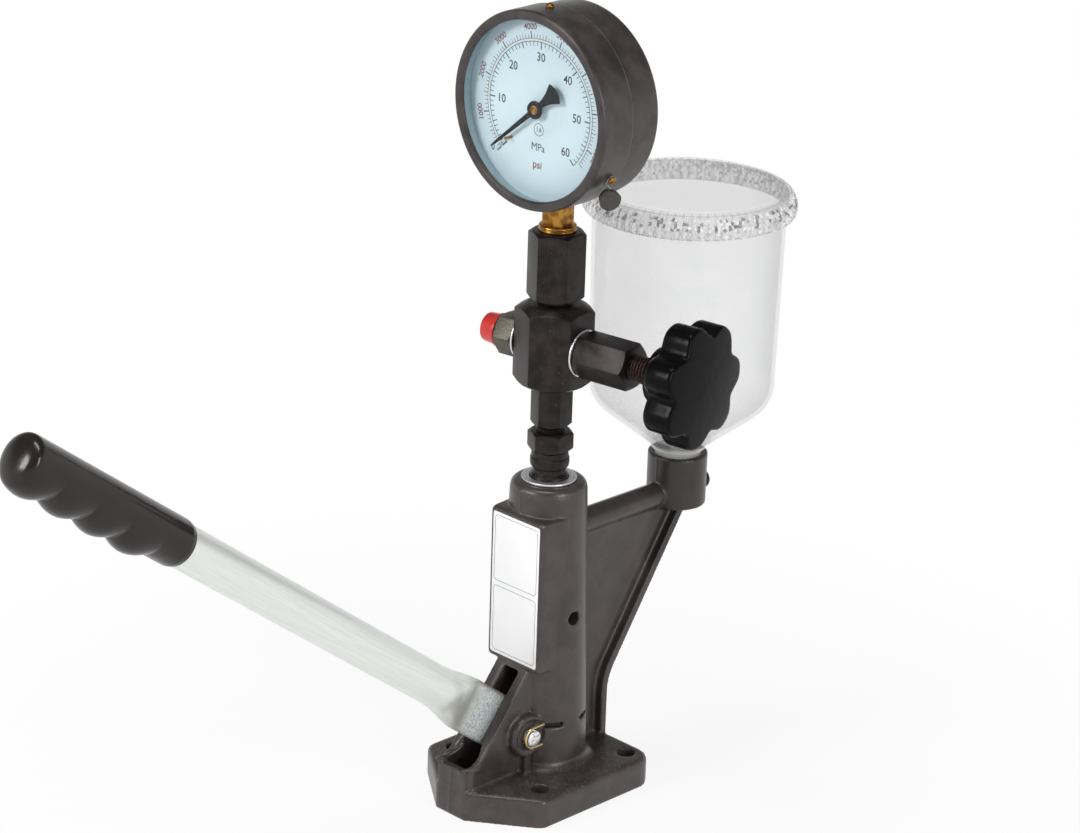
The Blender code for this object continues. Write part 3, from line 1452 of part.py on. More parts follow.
def valve_spindle():
    packing_end = bonnet_pocket_floor + clearance + packing_length
    shoulder = packing_end + clearance
    end = knob_hub_start + knob_bore_depth - clearance
    low = valve_port_floor + clearance
    profile = [(0.0, end), (spindle_radius, end), (spindle_radius, shoulder), (needle_radius, shoulder),
               (needle_radius, low + needle_point_length), (needle_point_radius, low), (0.0, low)]
    finish(turned("spindle", profile, segments_medium, valve_frame), "valve_spindle", reddish_steel)
    ring = tube("packing", spindle_radius, needle_radius + clearance, bonnet_pocket_floor + clearance,
                packing_end, segments_medium, valve_frame)
    finish(ring, "gland_packing", fibre)


def star_knob():
    middle = (knob_tip_radius + knob_valley_radius) / 2
    swing = (knob_tip_radius - knob_valley_radius) / 2
    count = knob_lobes * knob_points_per_lobe
    outline = []
    for index in range(count):
        angle = 2 * pi * index / count
        radius = middle + swing * cos(knob_lobes * angle)
        outline.append((radius * cos(angle), radius * sin(angle)))
    turn = pi / 2 + knob_phase
    knob = prism("star", outline, knob_star_start, knob_front, valve_frame, rotation=(0.0, 0.0, turn))
    bevel = knob.modifiers.new("edge", "BEVEL")
    bevel.limit_method = "ANGLE"
    bevel.angle_limit = bevel_corner_angle
    bevel.width = knob_edge_bevel
    bevel.segments = 1
    join(knob, cylinder("knob_hub", knob_hub_radius, knob_hub_start, knob_star_start + overrun,
                        segments_medium, valve_frame))
    cut(knob, cylinder("knob_bore", spindle_radius + clearance, knob_hub_start - overrun,
                       knob_hub_start + knob_bore_depth, segments_medium, valve_frame))
    finish(knob, "star_knob", black_bakelite)


# Outlet

def outlet():
    washer = tube("washer", outlet_washer_outer_radius, outlet_washer_inner_radius, side_washer_start,
                  side_washer_start + side_washer_thickness, segments_medium, outlet_frame)
    finish(washer, "outlet_washer", bright_steel)
    union = hexagon("union", outlet_hex_across_flats, side_hex_start, outlet_hex_end, 0.0, "both",
                    outlet_frame)
    low = outlet_port_floor + clearance
    join(union, cylinder("union_thread", outlet_thread_radius, low, side_hex_start + overrun,
                         segments_medium, outlet_frame))
    join(union, cylinder("union_nose", outlet_nose_radius, outlet_hex_end - overrun, outlet_nose_end,
                         segments_medium, outlet_frame))
    cut(union, cylinder("union_passage", cross_passage_radius, low - overrun, outlet_nose_end + overrun,
                        segments_fine, outlet_frame))
    tip = outlet_nose_end - outlet_cone_depth
    cone = [(0.0, outlet_nose_end + overrun), (outlet_cone_radius, outlet_nose_end + overrun),
            (outlet_cone_radius, outlet_nose_end), (cross_passage_radius / 2, tip), (0.0, tip)]
    cut(union, turned("union_cone", cone, segments_fine, outlet_frame))
    finish(union, "outlet_union", union_steel)
    inner = outlet_nose_radius + clearance
    floor = outlet_nose_end + clearance
    lip = outlet_hex_end + cap_lip_gap
    end = floor + cap_end_wall
    edge = cap_end_wall / 2
    profile = [(0.0, end), (cap_end_radius - edge, end), (cap_end_radius, end - edge),
               (cap_lip_radius, lip), (inner, lip), (inner, floor), (0.0, floor)]
    finish(turned("cap", profile, segments_medium, outlet_frame), "outlet_cap", red_plastic)


# Reservoir

def reservoir_cup():
    rim = lid_top - lid_disc_thickness - clearance
    spigot_bottom = cup_socket_floor + cup_gasket_thickness + 2 * clearance
    outer = [(cup_rim_radius, rim), (cup_shoulder_radius, cup_shoulder_height),
             (cup_turn_radius, cup_turn_height), (cup_funnel_radius, cup_funnel_height),
             (cup_floor_radius, cup_floor_height), (cup_root_radius, cup_root_height)]
    inner = offset_path(outer, cup_wall)
    inner_loop = list(reversed(inner[:-1]))
    last = inner[-2]
    outlet_edge = (cup_outlet_radius, last[1] - (last[0] - cup_outlet_radius) * cup_floor_fall_share)
    profile = outer + [(cup_spigot_radius, cup_root_height), (cup_spigot_radius, spigot_bottom),
                       (cup_outlet_radius, spigot_bottom), outlet_edge] + inner_loop
    finish(turned("cup", profile, segments_large, reservoir_frame), "reservoir_cup", clear_plastic)
    seat = cup_socket_floor + clearance
    ring = tube("cup_gasket_ring", cup_spigot_radius, cup_outlet_radius, seat, seat + cup_gasket_thickness,
                segments_medium, reservoir_frame)
    finish(ring, "cup_gasket", fibre)


def reservoir_lid():
    under = lid_top - lid_disc_thickness
    inner = cup_rim_radius + lid_skirt_gap
    width = lid_rim_radius - lid_disc_radius
    height = lid_top - lid_shoulder_height
    profile = [(0.0, lid_top), (lid_disc_radius, lid_top)]
    profile += [(lid_disc_radius + width * out, lid_top - height * down) for out, down in lid_slope_shares]
    profile += [(lid_rim_radius, lid_skirt_bottom), (inner, lid_skirt_bottom), (inner, under), (0.0, under)]
    finish(turned("lid", profile, segments_large, reservoir_frame), "reservoir_lid", clear_plastic)


def gallery_plug():
    seat = gallery_plug_seat
    low = seat - gallery_plug_depth
    high = seat + gallery_plug_head_height
    edge = gallery_plug_head_height / 4
    profile = [(0.0, high), (gallery_plug_head_radius - edge, high), (gallery_plug_head_radius, high - edge),
               (gallery_plug_head_radius, seat), (gallery_plug_radius, seat), (gallery_plug_radius, low),
               (0.0, low)]
    plug = turned("gallery_plug_body", profile, segments_small, gallery_frame)
    cut(plug, cylinder("plug_socket", gallery_plug_socket_radius, high - gallery_plug_socket_depth,
                       high + overrun, 6, gallery_frame))
    finish(plug, "gallery_plug", black_oxide)


# Lever

nose_radius = tappet_bottom - clearance - (pivot_z + arm_length * sin(arm_rest_angle))


def lever():
    rings = [oval(blade_start, -blade_offset, blade_half_height, blade_half_thickness, neck_power_shares[0])]
    height_change = lever_tube_radius - blade_half_height
    width_change = lever_tube_radius - blade_half_thickness
    for place, height, width, power in zip(neck_place_shares, neck_height_shares, neck_width_shares,
                                           neck_power_shares):
        along = blade_end + (lever_neck_end - blade_end) * place
        rings.append(oval(along, -blade_offset * (1 - place), blade_half_height + height_change * height,
                          blade_half_thickness + width_change * width, power))
    rings.append(oval(lever_end, 0.0, lever_tube_radius, lever_tube_radius, 2))
    made = loft("lever_body", rings, lever_frame)
    nose_turn = asin(arm_half_height / nose_radius)
    pivot_turn = asin(arm_half_height / arm_pivot_radius)
    outline = arc((arm_length, 0.0), nose_radius, nose_turn - pi, pi - nose_turn, 14)
    outline += arc((0.0, 0.0), arm_pivot_radius, pivot_turn, 2 * pi - pivot_turn, 12)
    arm = prism("lever_arm", outline, -arm_half_thickness, arm_half_thickness, lever_frame,
                rotation=(pi / 2, 0.0, pi / 2))
    for vertex in arm.data.vertices:
        turn = arm_rest_angle + lever_angle
        vertex.co = (vertex.co.x * cos(turn) - vertex.co.y * sin(turn),
                     vertex.co.x * sin(turn) + vertex.co.y * cos(turn), vertex.co.z)
    join(made, arm)
    cut(made, cylinder("lever_pin_hole", pin_radius + clearance, -fork_half_width, fork_half_width,
                       segments_small, pivot_frame))
    cut(made, cylinder("lever_bore", lever_tube_radius - lever_tube_wall, lever_bore_start,
                       lever_end + overrun, segments_small, lever_frame, rotation=(pi / 2, 0.0, 0.0)))
    finish(made, "lever", zinc)


def grip_ring(along):
    """A ring of the grip: a round bar with finger ridges below and a domed end."""
    radius = grip_radius
    if along < grip_start + grip_collar_length:
        share = (along - grip_start) / grip_collar_length
        radius = grip_collar_radius + (grip_radius - grip_collar_radius) * share
    fade = 1.0
    dome_start = grip_end - grip_dome_length
    if along > dome_start:
        share = min(grip_dome_last_share, (along - dome_start) / grip_dome_length)
        fade = sqrt(1 - share ** grip_dome_power)
    place = (along - grip_first_ridge) / grip_ridge_pitch
    ridge = 0.0
    if -0.5 < place < grip_ridges - 0.5:
        ridge = grip_ridge_height * abs(cos(pi * place))
    ring = []
    for index in range(grip_ring_points):
        angle = 2 * pi * (index + 0.5) / grip_ring_points
        here = fade * (radius + ridge * max(0.0, -sin(angle)) ** grip_ridge_power)
        ring.append((here * cos(angle), -along, here * sin(angle)))
    return ring


def grip():
    count = round((grip_end - grip_start) / grip_ring_step)
    places = [grip_start + (grip_end - grip_start) * index / count for index in range(count)]
    places.append(grip_end - grip_dome_length / 20)
    made = loft("grip_body", [grip_ring(along) for along in places], lever_frame)
    cut(made, cylinder("grip_socket", lever_tube_radius + clearance, grip_start - overrun,
                       lever_end + clearance, segments_medium, lever_frame, rotation=(pi / 2, 0.0, 0.0)))
    finish(made, "grip", dark_grip)


def pivot_pin():
    groove = pin_radius - pin_groove_depth
    near = boss_reach + pin_groove_offset - pin_groove_width / 2
    far = near + pin_groove_width
    half = [(0.0, pin_reach), (pin_radius - pin_chamfer, pin_reach),
            (pin_radius, pin_reach - pin_chamfer / 2), (pin_radius, far), (groove, far), (groove, near),
            (pin_radius, near)]
    profile = half + [(radius, -height) for radius, height in reversed(half)]
    finish(turned("pin", profile, segments_small, pivot_frame), "pivot_pin", bright_steel)


def pin_clips():
    """Each wire clip sits in a pin groove with its legs pointing to the rear."""
    ring = pin_radius - pin_groove_depth + clearance + pin_clip_wire_radius
    bend = arc((0.0, 0.0), ring, pi / 2, 3 * pi / 2, 8)
    path = [(pin_clip_leg, ring)] + bend + [(pin_clip_leg, -ring)]
    for index, side in enumerate((-1, 1)):
        along = side * (boss_reach + pin_groove_offset)
        points = [(-z, y, along) for y, z in path]
        clip = wire("clip", points, pin_clip_wire_radius, 1, parent=pivot_frame)
        finish(clip, "pin_clip_%d" % (index + 1), yellow_zinc)


body_casting()
bottom_plug()
label_plate()
pump_barrel()
plunger()
tappet()
spring_seats()
plunger_spring()
retaining_clip()
locating_screw()
delivery_valve()
delivery_valve_holder()
lock_nut()
riser_connector()
cross_block()
gauge_nut()
gauge_stem()
gauge_case()
gauge_bezel()
gauge_glass()
gauge_dial()
gauge_pointer()
gauge_movement()
sector_gear()
tip_link()
bourdon_tube()
bezel_screws()
lead_seal()
valve_washer()
valve_bonnet()
valve_spindle()
star_knob()
outlet()
reservoir_cup()
reservoir_lid()
gallery_plug()
lever()
grip()
pivot_pin()
pin_clips()

# Bake the shapes, so that round pieces can be shaded smooth
bpy.context.view_layer.update()
depsgraph = bpy.context.evaluated_depsgraph_get()
for made in finished_parts:
    mesh = bpy.data.meshes.new_from_object(made.evaluated_get(depsgraph))
    mesh.shade_smooth()
    mesh.set_sharp_from_angle(angle=smooth_angle)
    mesh.name = made.name
    made.modifiers.clear()
    made.data = mesh
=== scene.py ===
import json
from math import cos, hypot, pi, radians, sin, sqrt, tan

import bpy
from mathutils import Euler, Matrix, Vector

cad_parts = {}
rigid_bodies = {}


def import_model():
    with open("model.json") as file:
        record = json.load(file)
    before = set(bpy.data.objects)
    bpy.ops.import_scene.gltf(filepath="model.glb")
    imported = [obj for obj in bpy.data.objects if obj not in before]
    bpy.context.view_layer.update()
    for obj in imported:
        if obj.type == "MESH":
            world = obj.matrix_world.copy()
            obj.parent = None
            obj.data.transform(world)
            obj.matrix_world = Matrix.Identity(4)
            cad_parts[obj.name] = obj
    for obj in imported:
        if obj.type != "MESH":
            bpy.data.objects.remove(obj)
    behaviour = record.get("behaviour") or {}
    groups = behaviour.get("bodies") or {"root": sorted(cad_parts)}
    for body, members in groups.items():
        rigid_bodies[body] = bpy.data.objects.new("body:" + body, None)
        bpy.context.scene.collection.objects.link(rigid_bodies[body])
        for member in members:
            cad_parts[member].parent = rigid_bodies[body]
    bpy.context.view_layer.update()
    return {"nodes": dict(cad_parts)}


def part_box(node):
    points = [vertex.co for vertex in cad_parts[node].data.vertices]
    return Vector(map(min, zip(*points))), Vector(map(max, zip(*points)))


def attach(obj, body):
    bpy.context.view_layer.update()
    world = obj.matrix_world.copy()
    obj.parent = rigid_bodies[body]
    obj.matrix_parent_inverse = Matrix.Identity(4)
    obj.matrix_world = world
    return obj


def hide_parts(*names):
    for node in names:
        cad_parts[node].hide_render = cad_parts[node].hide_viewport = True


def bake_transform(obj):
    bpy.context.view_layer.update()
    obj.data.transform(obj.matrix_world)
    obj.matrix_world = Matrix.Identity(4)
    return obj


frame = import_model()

nodes = frame["nodes"]


# Body casting: base, pump column, lever fork and reservoir arm, cast in one piece.
# It is dipped in thick black-brown paint that softens every edge, and dust has dried into it.

def only(piece=None):
    """Select this piece alone, or nothing at all."""
    for other in bpy.context.view_layer.objects:
        other.select_set(False)
    if piece:
        piece.select_set(True)
    bpy.context.view_layer.objects.active = piece


def edit(piece):
    only(piece)
    bpy.ops.object.mode_set(mode="EDIT")
    bpy.ops.mesh.select_all(action="SELECT")


def done():
    bpy.ops.object.mode_set(mode="OBJECT")
    return bpy.context.view_layer.objects.active


def outwards():
    """Turn every face of the edited piece outwards, and leave edit mode."""
    bpy.ops.mesh.select_all(action="SELECT")
    bpy.ops.mesh.normals_make_consistent(inside=False)
    return done()


def worked(piece, kind, **settings):
    """Give the piece one modifier and apply it."""
    only(piece)
    step = piece.modifiers.new(kind.lower(), kind)
    for setting, value in settings.items():
        setattr(step, setting, value)
    bpy.ops.object.modifier_apply(modifier=step.name)
    return piece


def softened(piece, width, angle, segments=2, clamp=True):
    """Round off the edges that turn by more than this angle."""
    return worked(piece, "BEVEL", width=width, segments=segments, limit_method="ANGLE",
                  angle_limit=radians(angle), use_clamp_overlap=clamp)


def carved(piece, tool, operation="DIFFERENCE"):
    worked(piece, "BOOLEAN", operation=operation, object=tool, solver="EXACT")
    bpy.data.objects.remove(tool)
    return piece


def settled(piece, where=Matrix()):
    """Move a piece to its place and bake the place into its mesh."""
    piece.matrix_basis = where @ piece.matrix_basis
    only(piece)
    bpy.ops.object.transform_apply(location=True, rotation=True, scale=True)
    return piece


def standing(x, y, z, *turns):
    return Matrix.Translation((x, y, z)) @ Euler(turns or (0, 0, 0)).to_matrix().to_4x4()


def rounded(corners, steps=4):
    """A line through (across, along, radius) corners, each turned with its radius."""
    line = []
    for index, (across, along, radius) in enumerate(corners):
        corner = Vector((across, along))
        inside = 0 < index < len(corners) - 1
        if not radius or not inside:
            line.append((across, along))
            continue
        before = Vector(corners[index - 1][:2]) - corner
        after = Vector(corners[index + 1][:2]) - corner
        reach = radius / tan(before.angle(after) / 2)
        reach = min(reach, before.length * 0.49, after.length * 0.49)
        start = corner + before.normalized() * reach
        end = corner + after.normalized() * reach
        for step in range(steps + 1):
            part = step / steps
            spot = start * (1 - part) ** 2 + corner * (2 * part * (1 - part)) + end * part ** 2
            line.append((spot.x, spot.y))
    return line


weld = 0.000004


def spun(name, corners, segments=96, steps=4):
    """Turn a profile of (radius, height, rounding) corners about Z, as on a lathe."""
    line = rounded(corners, steps)
    if line[0][0] > 0:
        line.append(line[0])
    only()
    bpy.ops.mesh.primitive_plane_add(size=0.001)
    bpy.context.object.name = name
    edit(bpy.context.object)
    bpy.ops.mesh.merge(type="CENTER")
    bpy.ops.transform.translate(value=(line[0][0], 0, line[0][1]))
    for first, second in zip(line, line[1:]):
        move = (second[0] - first[0], 0, second[1] - first[1])
        bpy.ops.mesh.extrude_region_move(TRANSFORM_OT_translate={"value": move})
    bpy.ops.mesh.select_all(action="SELECT")
    bpy.ops.mesh.spin(steps=segments, angle=2 * pi, center=(0, 0, 0), axis=(0, 0, 1))
    bpy.ops.mesh.select_all(action="SELECT")
    bpy.ops.mesh.remove_doubles(threshold=weld)
    return outwards()


def skinned(name, rows):
    """Drape a grid over rows of equally many points, then close its seams and ends."""
    only()
    bpy.ops.mesh.primitive_grid_add(x_subdivisions=len(rows[0]) - 1, y_subdivisions=len(rows) - 1)
    piece = bpy.context.object
    piece.name = name
    for vertex, place in zip(piece.data.vertices, [place for row in rows for place in row]):
        vertex.co = place
    edit(piece)
    bpy.ops.mesh.remove_doubles(threshold=weld)
    bpy.ops.mesh.fill_holes(sides=0)
    return outwards()


def rod(name, path, radius, points=12):
    """A round rod along a path, with a radius for the whole or for each point."""
    path = [Vector(place) for place in path]
    radii = radius if isinstance(radius, list) else [radius] * len(path)
    side = None
    rows = []
    for index, place in enumerate(path):
        ahead = path[min(index + 1, len(path) - 1)] - path[max(index - 1, 0)]
        ahead.normalize()
        if side is None:
            side = ahead.orthogonal()
        side = (side - ahead * side.dot(ahead)).normalized()
        other = ahead.cross(side)
        turns = [2 * pi * step / points for step in range(points + 1)]
        rows.append([place + (side * cos(turn) + other * sin(turn)) * radii[index] for turn in turns])
    return skinned(name, rows)


def slab(name, outline, low, high, band=0):
    """Fill an outline of (x, y) points, or a band just inside it, and give it thickness."""
    only()
    bpy.ops.mesh.primitive_circle_add(vertices=len(outline), fill_type="NGON")
    piece = bpy.context.object
    piece.name = name
    for vertex, (x, y) in zip(piece.data.vertices, outline):
        vertex.co = (x, y, low)
    edit(piece)
    if band:
        bpy.ops.mesh.inset(thickness=band)
        bpy.ops.mesh.delete(type="FACE")
        bpy.ops.mesh.select_all(action="SELECT")
    bpy.ops.mesh.extrude_region_move(TRANSFORM_OT_translate={"value": (0, 0, high - low)})
    return outwards()


def oblong(x, low, high, radius, steps=5):
    """The outline of a rounded rectangle from -x to x and from low to high."""
    corners = [(0, low, 0), (x, low, radius), (x, high, radius), (-x, high, radius), (-x, low, radius),
               (0, low, 0)]
    return rounded(corners, steps)[:-1]


class Value:
    """A number that changes over a surface; sums on it add Math nodes."""

    def __init__(self, shading, socket):
        self.shading = shading
        self.socket = socket

    def math(self, operation, first, second):
        return self.shading.node("Math", {"operation": operation}, {0: first, 1: second})

    def __add__(self, other):
        return self.math("ADD", self, other)

    def __sub__(self, other):
        return self.math("SUBTRACT", self, other)

    def __rsub__(self, other):
        return self.math("SUBTRACT", other, self)

    def __mul__(self, other):
        return self.math("MULTIPLY", self, other)

    def __gt__(self, other):
        return self.math("GREATER_THAN", self, other)

    __radd__ = __add__
    __rmul__ = __mul__


class Shading:
    """Patterns built node by node in one node tree."""

    def __init__(self, tree):
        self.tree = tree

    def feed(self, socket, value):
        """Feed a value, link or colour to a socket."""
        if isinstance(value, Value):
            self.tree.links.new(value.socket, socket)
        elif isinstance(value, tuple) and socket.type == "RGBA":
            socket.default_value = (*value, 1)
        else:
            socket.default_value = value

    def node(self, kind, settings=None, feeds=None, output=0):
        made = self.tree.nodes.new("ShaderNode" + kind)
        for setting, value in (settings or {}).items():
            setattr(made, setting, value)
        for socket, value in (feeds or {}).items():
            self.feed(made.inputs[socket], value)
        return Value(self, made.outputs[output])

    def step(self, value, low, high):
        """0 below low, 1 above high, and a soft step between."""
        return self.node("MapRange", {"interpolation_type": "SMOOTHSTEP"},
                         {"Value": value, "From Min": low, "From Max": high})

    def mix(self, factor, first, second):
        return self.node("Mix", {"data_type": "RGBA"}, {0: factor, 6: first, 7: second}, output=2)

    def axis(self, place, name):
        return self.node("SeparateXYZ", None, {"Vector": place}, output=name)

    def edge_on(self, blend, low):
        """0 where the surface faces the eye, rising to 1 where it is seen edge on."""
        return self.step(self.node("LayerWeight", None, {"Blend": blend}, output="Facing"), low, 1.0)

    def length(self, place):
        return self.node("VectorMath", {"operation": "LENGTH"}, {0: place}, output="Value")

    def mapped(self, place, scale=(1, 1, 1), move=(0, 0, 0)):
        """A place, stretched and moved for a pattern."""
        return self.node("Mapping", None, {"Vector": place, "Scale": scale, "Location": move})


class Finish(Shading):
    """A procedural finish: constant sockets by name, and patterns for the others."""

    def __init__(self, name, **constants):
        self.made = bpy.data.materials.new(name)
        self.made.use_nodes = True
        super().__init__(self.made.node_tree)
        self.shader = self.tree.nodes["Principled BSDF"]
        for socket, value in constants.items():
            self.set(socket.replace("_", " "), value)
        self.place = self.node("TexCoord", output="Object")

    def set(self, socket, value):
        self.feed(self.shader.inputs[socket], value)

    def noise(self, size, detail=2, place=None, rough=0.5):
        """Cloudy noise whose lumps are about as wide as size."""
        feeds = {"Vector": place or self.place, "Scale": 1 / size, "Detail": detail, "Roughness": rough}
        return self.node("TexNoise", None, feeds)

    def dots(self, size, share):
        """Round specks in cells of the size, in about this share of the cells."""
        cells = {"Vector": self.place, "Scale": 1 / size}
        near = self.node("TexVoronoi", None, cells, output="Distance")
        chance = self.node("TexVoronoi", None, cells, output="Color")
        return self.step(near * -1, -0.24, -0.10) * (self.axis(chance, "X") > 1 - share)

    def bump(self, height, distance):
        """Raise the surface by the height's value times the distance."""
        self.set("Normal", self.node("Bump", None, {"Height": height, "Distance": distance}))


def clouded(name, lump, detail, dark, light, rough, vary, relief=0, **constants):
    """A finish whose colour, roughness and relief all follow the same clouds."""
    finish = Finish(name, **constants)
    finish.clouds = finish.noise(lump, detail)
    finish.set("Base Color", finish.mix(finish.clouds, dark, light))
    finish.set("Roughness", rough + vary * finish.clouds)
    if relief:
        finish.bump(finish.clouds, relief)
    return finish


def fitted(piece, finish, slot, *stands_for, body="tester_body", angle=35):
    """Shade a finished piece, paint it, hang it on its body and hide the nodes it stands for."""
    only(piece)
    bpy.ops.object.shade_smooth_by_angle(angle=radians(angle))
    piece.data.materials.clear()
    piece.data.materials.append(finish.made)
    if body:
        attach(piece, body)
    if stands_for:
        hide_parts(*stands_for)
    return piece


def box(size, *where):
    """A box of this size at this place, with these turns."""
    only()
    bpy.ops.mesh.primitive_cube_add(size=1, scale=size)
    return settled(bpy.context.object, standing(*where))


def joined(name, pieces):
    only(pieces[0])
    for piece in pieces:
        piece.select_set(True)
    bpy.ops.object.join()
    pieces[0].name = name
    return pieces[0]


def copy_of_node(node, name):
    """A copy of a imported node's mesh, with its loose triangles merged."""
    piece = bpy.data.objects.new(name, nodes[node].data.copy())
    bpy.context.scene.collection.objects.link(piece)
    edit(piece)
    bpy.ops.mesh.remove_doubles(threshold=0.000005)
    return done()


pivot_y, pivot_z = -0.0245, 0.0377
pivot_frame = standing(0, pivot_y, pivot_z, 0, pi / 2, 0)
reservoir_y = 0.0973
gallery_height = 0.1410
column_top = 0.1720
label_frame = standing(0, -0.0221, 0, pi / 2, 0, 0)

# A low wall closes the front of the lever's channel, and a thin rim frames the label.
casting = copy_of_node("body_casting", "painted_casting")
nose_wall = [(-0.0100, -0.0649), (0.0100, -0.0649), (0.0100, -0.0606), (-0.0100, -0.0606)]
carved(casting, slab("nose_wall", nose_wall, 0.0120, 0.0276), "UNION")
rim = slab("label_rim", oblong(0.0184, 0.0733, 0.1566, 0.0022), -0.0008, 0.0007, band=0.00105)
extras = [settled(rim, label_frame)]

# Ragged casting flash stands along the channel's mouth.
flash = [(-0.0122, -0.0640, 0.0276), (-0.0104, -0.0652, 0.0289), (-0.0088, -0.0636, 0.0297),
         (-0.0083, -0.0607, 0.0290), (-0.0080, -0.0580, 0.0293), (-0.0070, -0.0552, 0.0303),
         (-0.0062, -0.0526, 0.0318), (-0.0059, -0.0500, 0.0342)]
extras.append(rod("channel_flash", flash, [0.0008, 0.0012, 0.0013, 0.0010, 0.0012, 0.0011, 0.0009, 0.0007]))
flash = [(0.0126, -0.0560, 0.0270), (0.0108, -0.0600, 0.0282), (0.0097, -0.0640, 0.0284),
         (0.0060, -0.0655, 0.0262)]
extras.append(rod("nose_flash", flash, [0.0007, 0.0010, 0.0011, 0.0008]))
casting = joined("painted_casting", [casting] + extras)

for side in (1, -1):
    recess = [(0.0066, 0.0159, 0), (0.0066, 0.0180, 0), (0.0093, 0.0180, 0), (0.0093, 0.0159, 0)]
    ring = settled(spun("boss_recess", recess, 48), pivot_frame @ Matrix.Scale(side, 4, (0, 0, 1)))
    edit(ring)
    outwards()
    carved(casting, ring)

worked(casting, "REMESH", mode="VOXEL", voxel_size=0.00072, adaptivity=0)
worked(casting, "SMOOTH", factor=0.5, iterations=5)


parting_half, parting_rise = 0.0009, 0.00034
bolt_radius, screw_hole_radius = 0.00485, 0.00385


def true_surfaces(piece):
    """Draw the turned faces back to their exact radius, and raise the mould's parting line."""
    normals = [vertex.normal.copy() for vertex in piece.data.vertices]
    for vertex, normal in zip(piece.data.vertices, normals):
        x, y, z = vertex.co
        foot = 0.0249 - 0.0049 * z / column_top
        turned = ((Vector((x, y, 0)), foot, 0.020 < z < 0.168),
                  (Vector((x, y - reservoir_y, 0)), 0.0160, 0.1345 < z < 0.1618),
                  (Vector((x, 0, z - gallery_height)), 0.0065, 0.022 < y < 0.0830),
                  (Vector((0, y - pivot_y, z - pivot_z)), 0.0115, 0.0125 < abs(x) < 0.0158))
        for reach, radius, here in turned:
            away = reach.length
            if here and abs(away - radius) < 0.00016 and reach.dot(normal) > 0.97 * away:
                vertex.co += reach * (radius / away - 1)
        holes = [(Vector((x - side * 0.0322, y - at, 0)), bolt_radius, z < 0.0158)
                 for side in (-1, 1) for at in (-0.0315, 0.0324)]
        holes.append((Vector((0, y, z - 0.0998)), screw_hole_radius, x > 0.014))
        for reach, radius, here in holes:
            away = reach.length
            if here and abs(away - radius) < 0.0006 and reach.dot(normal) < -0.35 * away:
                vertex.co += reach * (radius / away - 1)
        outside = hypot(x, y) > 0.0185 and hypot(x, y - reservoir_y) > 0.0148
        channel = -0.0645 < y < -0.012 and z < 0.0790
        under_label = y < -0.0215 and 0.0728 < z < 0.157
        if abs(x) < parting_half and outside and not channel and not under_label and z > 0.001:
            vertex.co += normal * (parting_rise * (1 - abs(x) / parting_half))


true_surfaces(casting)
triangles, most_triangles = 2 * len(casting.data.polygons), 190000
worked(casting, "DECIMATE", ratio=min(1, most_triangles / triangles))

paint = Finish("cast_paint", Specular_IOR_Level=0.5)
cloud = paint.noise(0.012, 4)
grain = paint.noise(0.0006, 3)
upward = paint.axis(paint.node("NewGeometry", output="Normal"), "Z")
low_down = 1 - paint.step(paint.axis(paint.place, "Z"), 0.018, 0.055)
speck = paint.step(paint.noise(0.0011, 2, None, 0.8), 0.58, 0.68)
dust = speck * paint.step(upward, 0.3, 0.9) * low_down
dust = dust + paint.dots(0.0019, 0.03) * 0.5
colour = paint.mix(paint.step(cloud, 0.3, 0.7), (0.0370, 0.0275, 0.0262), (0.0600, 0.0455, 0.0435))
colour = paint.mix(paint.step(grain, 0.45, 0.75) * 0.35, colour, (0.062, 0.050, 0.047))
# Painted shade: from the cup boss backwards, the paint's colour is drawn most of the way to near black, for
# the shade that falls on the boss.
painted_shade_at_cup = paint.step(paint.axis(paint.place, "Y"), 0.068, 0.084)
colour = paint.mix(painted_shade_at_cup * 0.75, colour, (0.012, 0.0095, 0.0085))
paint.set("Base Color", paint.mix(dust * 0.5, colour, (0.22, 0.195, 0.185)))
paint.set("Roughness", 0.22 + 0.16 * cloud + 0.08 * grain)
paint.bump(paint.noise(0.0018, 2) * 0.55 + grain * 0.3 + paint.noise(0.007, 1) * 0.9 + dust * 0.5, 0.00009)
fitted(casting, paint, "dark_casting_paint", "body_casting", angle=60)


# Bottom plug: a disc pressed into the underside of the pump chamber, with a turned steel face.
# Only its face can be seen, from below.

def repainted(finish, *names):
    """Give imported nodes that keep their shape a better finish."""
    for name in names:
        for slot in nodes[name].material_slots:
            slot.material = finish.made


steel = Finish("turned_steel", Metallic=1.0)
rings = steel.noise(0.0006, 3, steel.mapped(steel.place, (0.15, 0.15, 1)))
steel.set("Base Color", steel.mix(steel.noise(0.006, 3), (0.40, 0.40, 0.41), (0.56, 0.56, 0.56)))
steel.set("Roughness", 0.26 + 0.2 * rings)
steel.bump(rings, 0.00002)
repainted(steel, "bottom_plug")


# Label plate: a thin white plastic plate stuck into the rim on the column's front block.
# It is left bare but for the two thin printed frames.

label_body = slab("label_plate_bare", oblong(0.0171, 0.0753, 0.1546, 0.0016), 0.0001, 0.00042)
softened(label_body, 0.00012, 60)
settled(label_body, label_frame)
label = Finish("label_plastic", Specular_IOR_Level=0.5, Coat_Roughness=0.12)
yellowed = label.noise(0.02, 3)
label.set("Base Color", label.mix(yellowed, (0.94, 0.94, 0.95), (0.98, 0.98, 0.98)))
label.set("Coat Weight", 0.25 + 0.2 * yellowed)
label.set("Roughness", 0.28 + 0.14 * label.noise(0.004, 2))
label.bump(label.noise(0.0025, 2), 0.00002)
fitted(label_body, label, "white_label", "label_plate")

panels = []
for low, high in ((0.1164, 0.1530), (0.0770, 0.1136)):
    panels.append(slab("printed_frame", oblong(0.0156, low, high, 0.0024), 0.00041, 0.00045, band=0.00026))
ink = clouded("grey_ink", 0.0012, 3, (0.06, 0.06, 0.08), (0.20, 0.20, 0.23), 0.45, 0.1)
fitted(settled(joined("label_printed_frames", panels), label_frame), ink, "white_label")


# Pump element: hardened barrel and plunger, tappet, spring and seats inside the column.
# They are oiled steel parts that show only through the slots and the open bore.

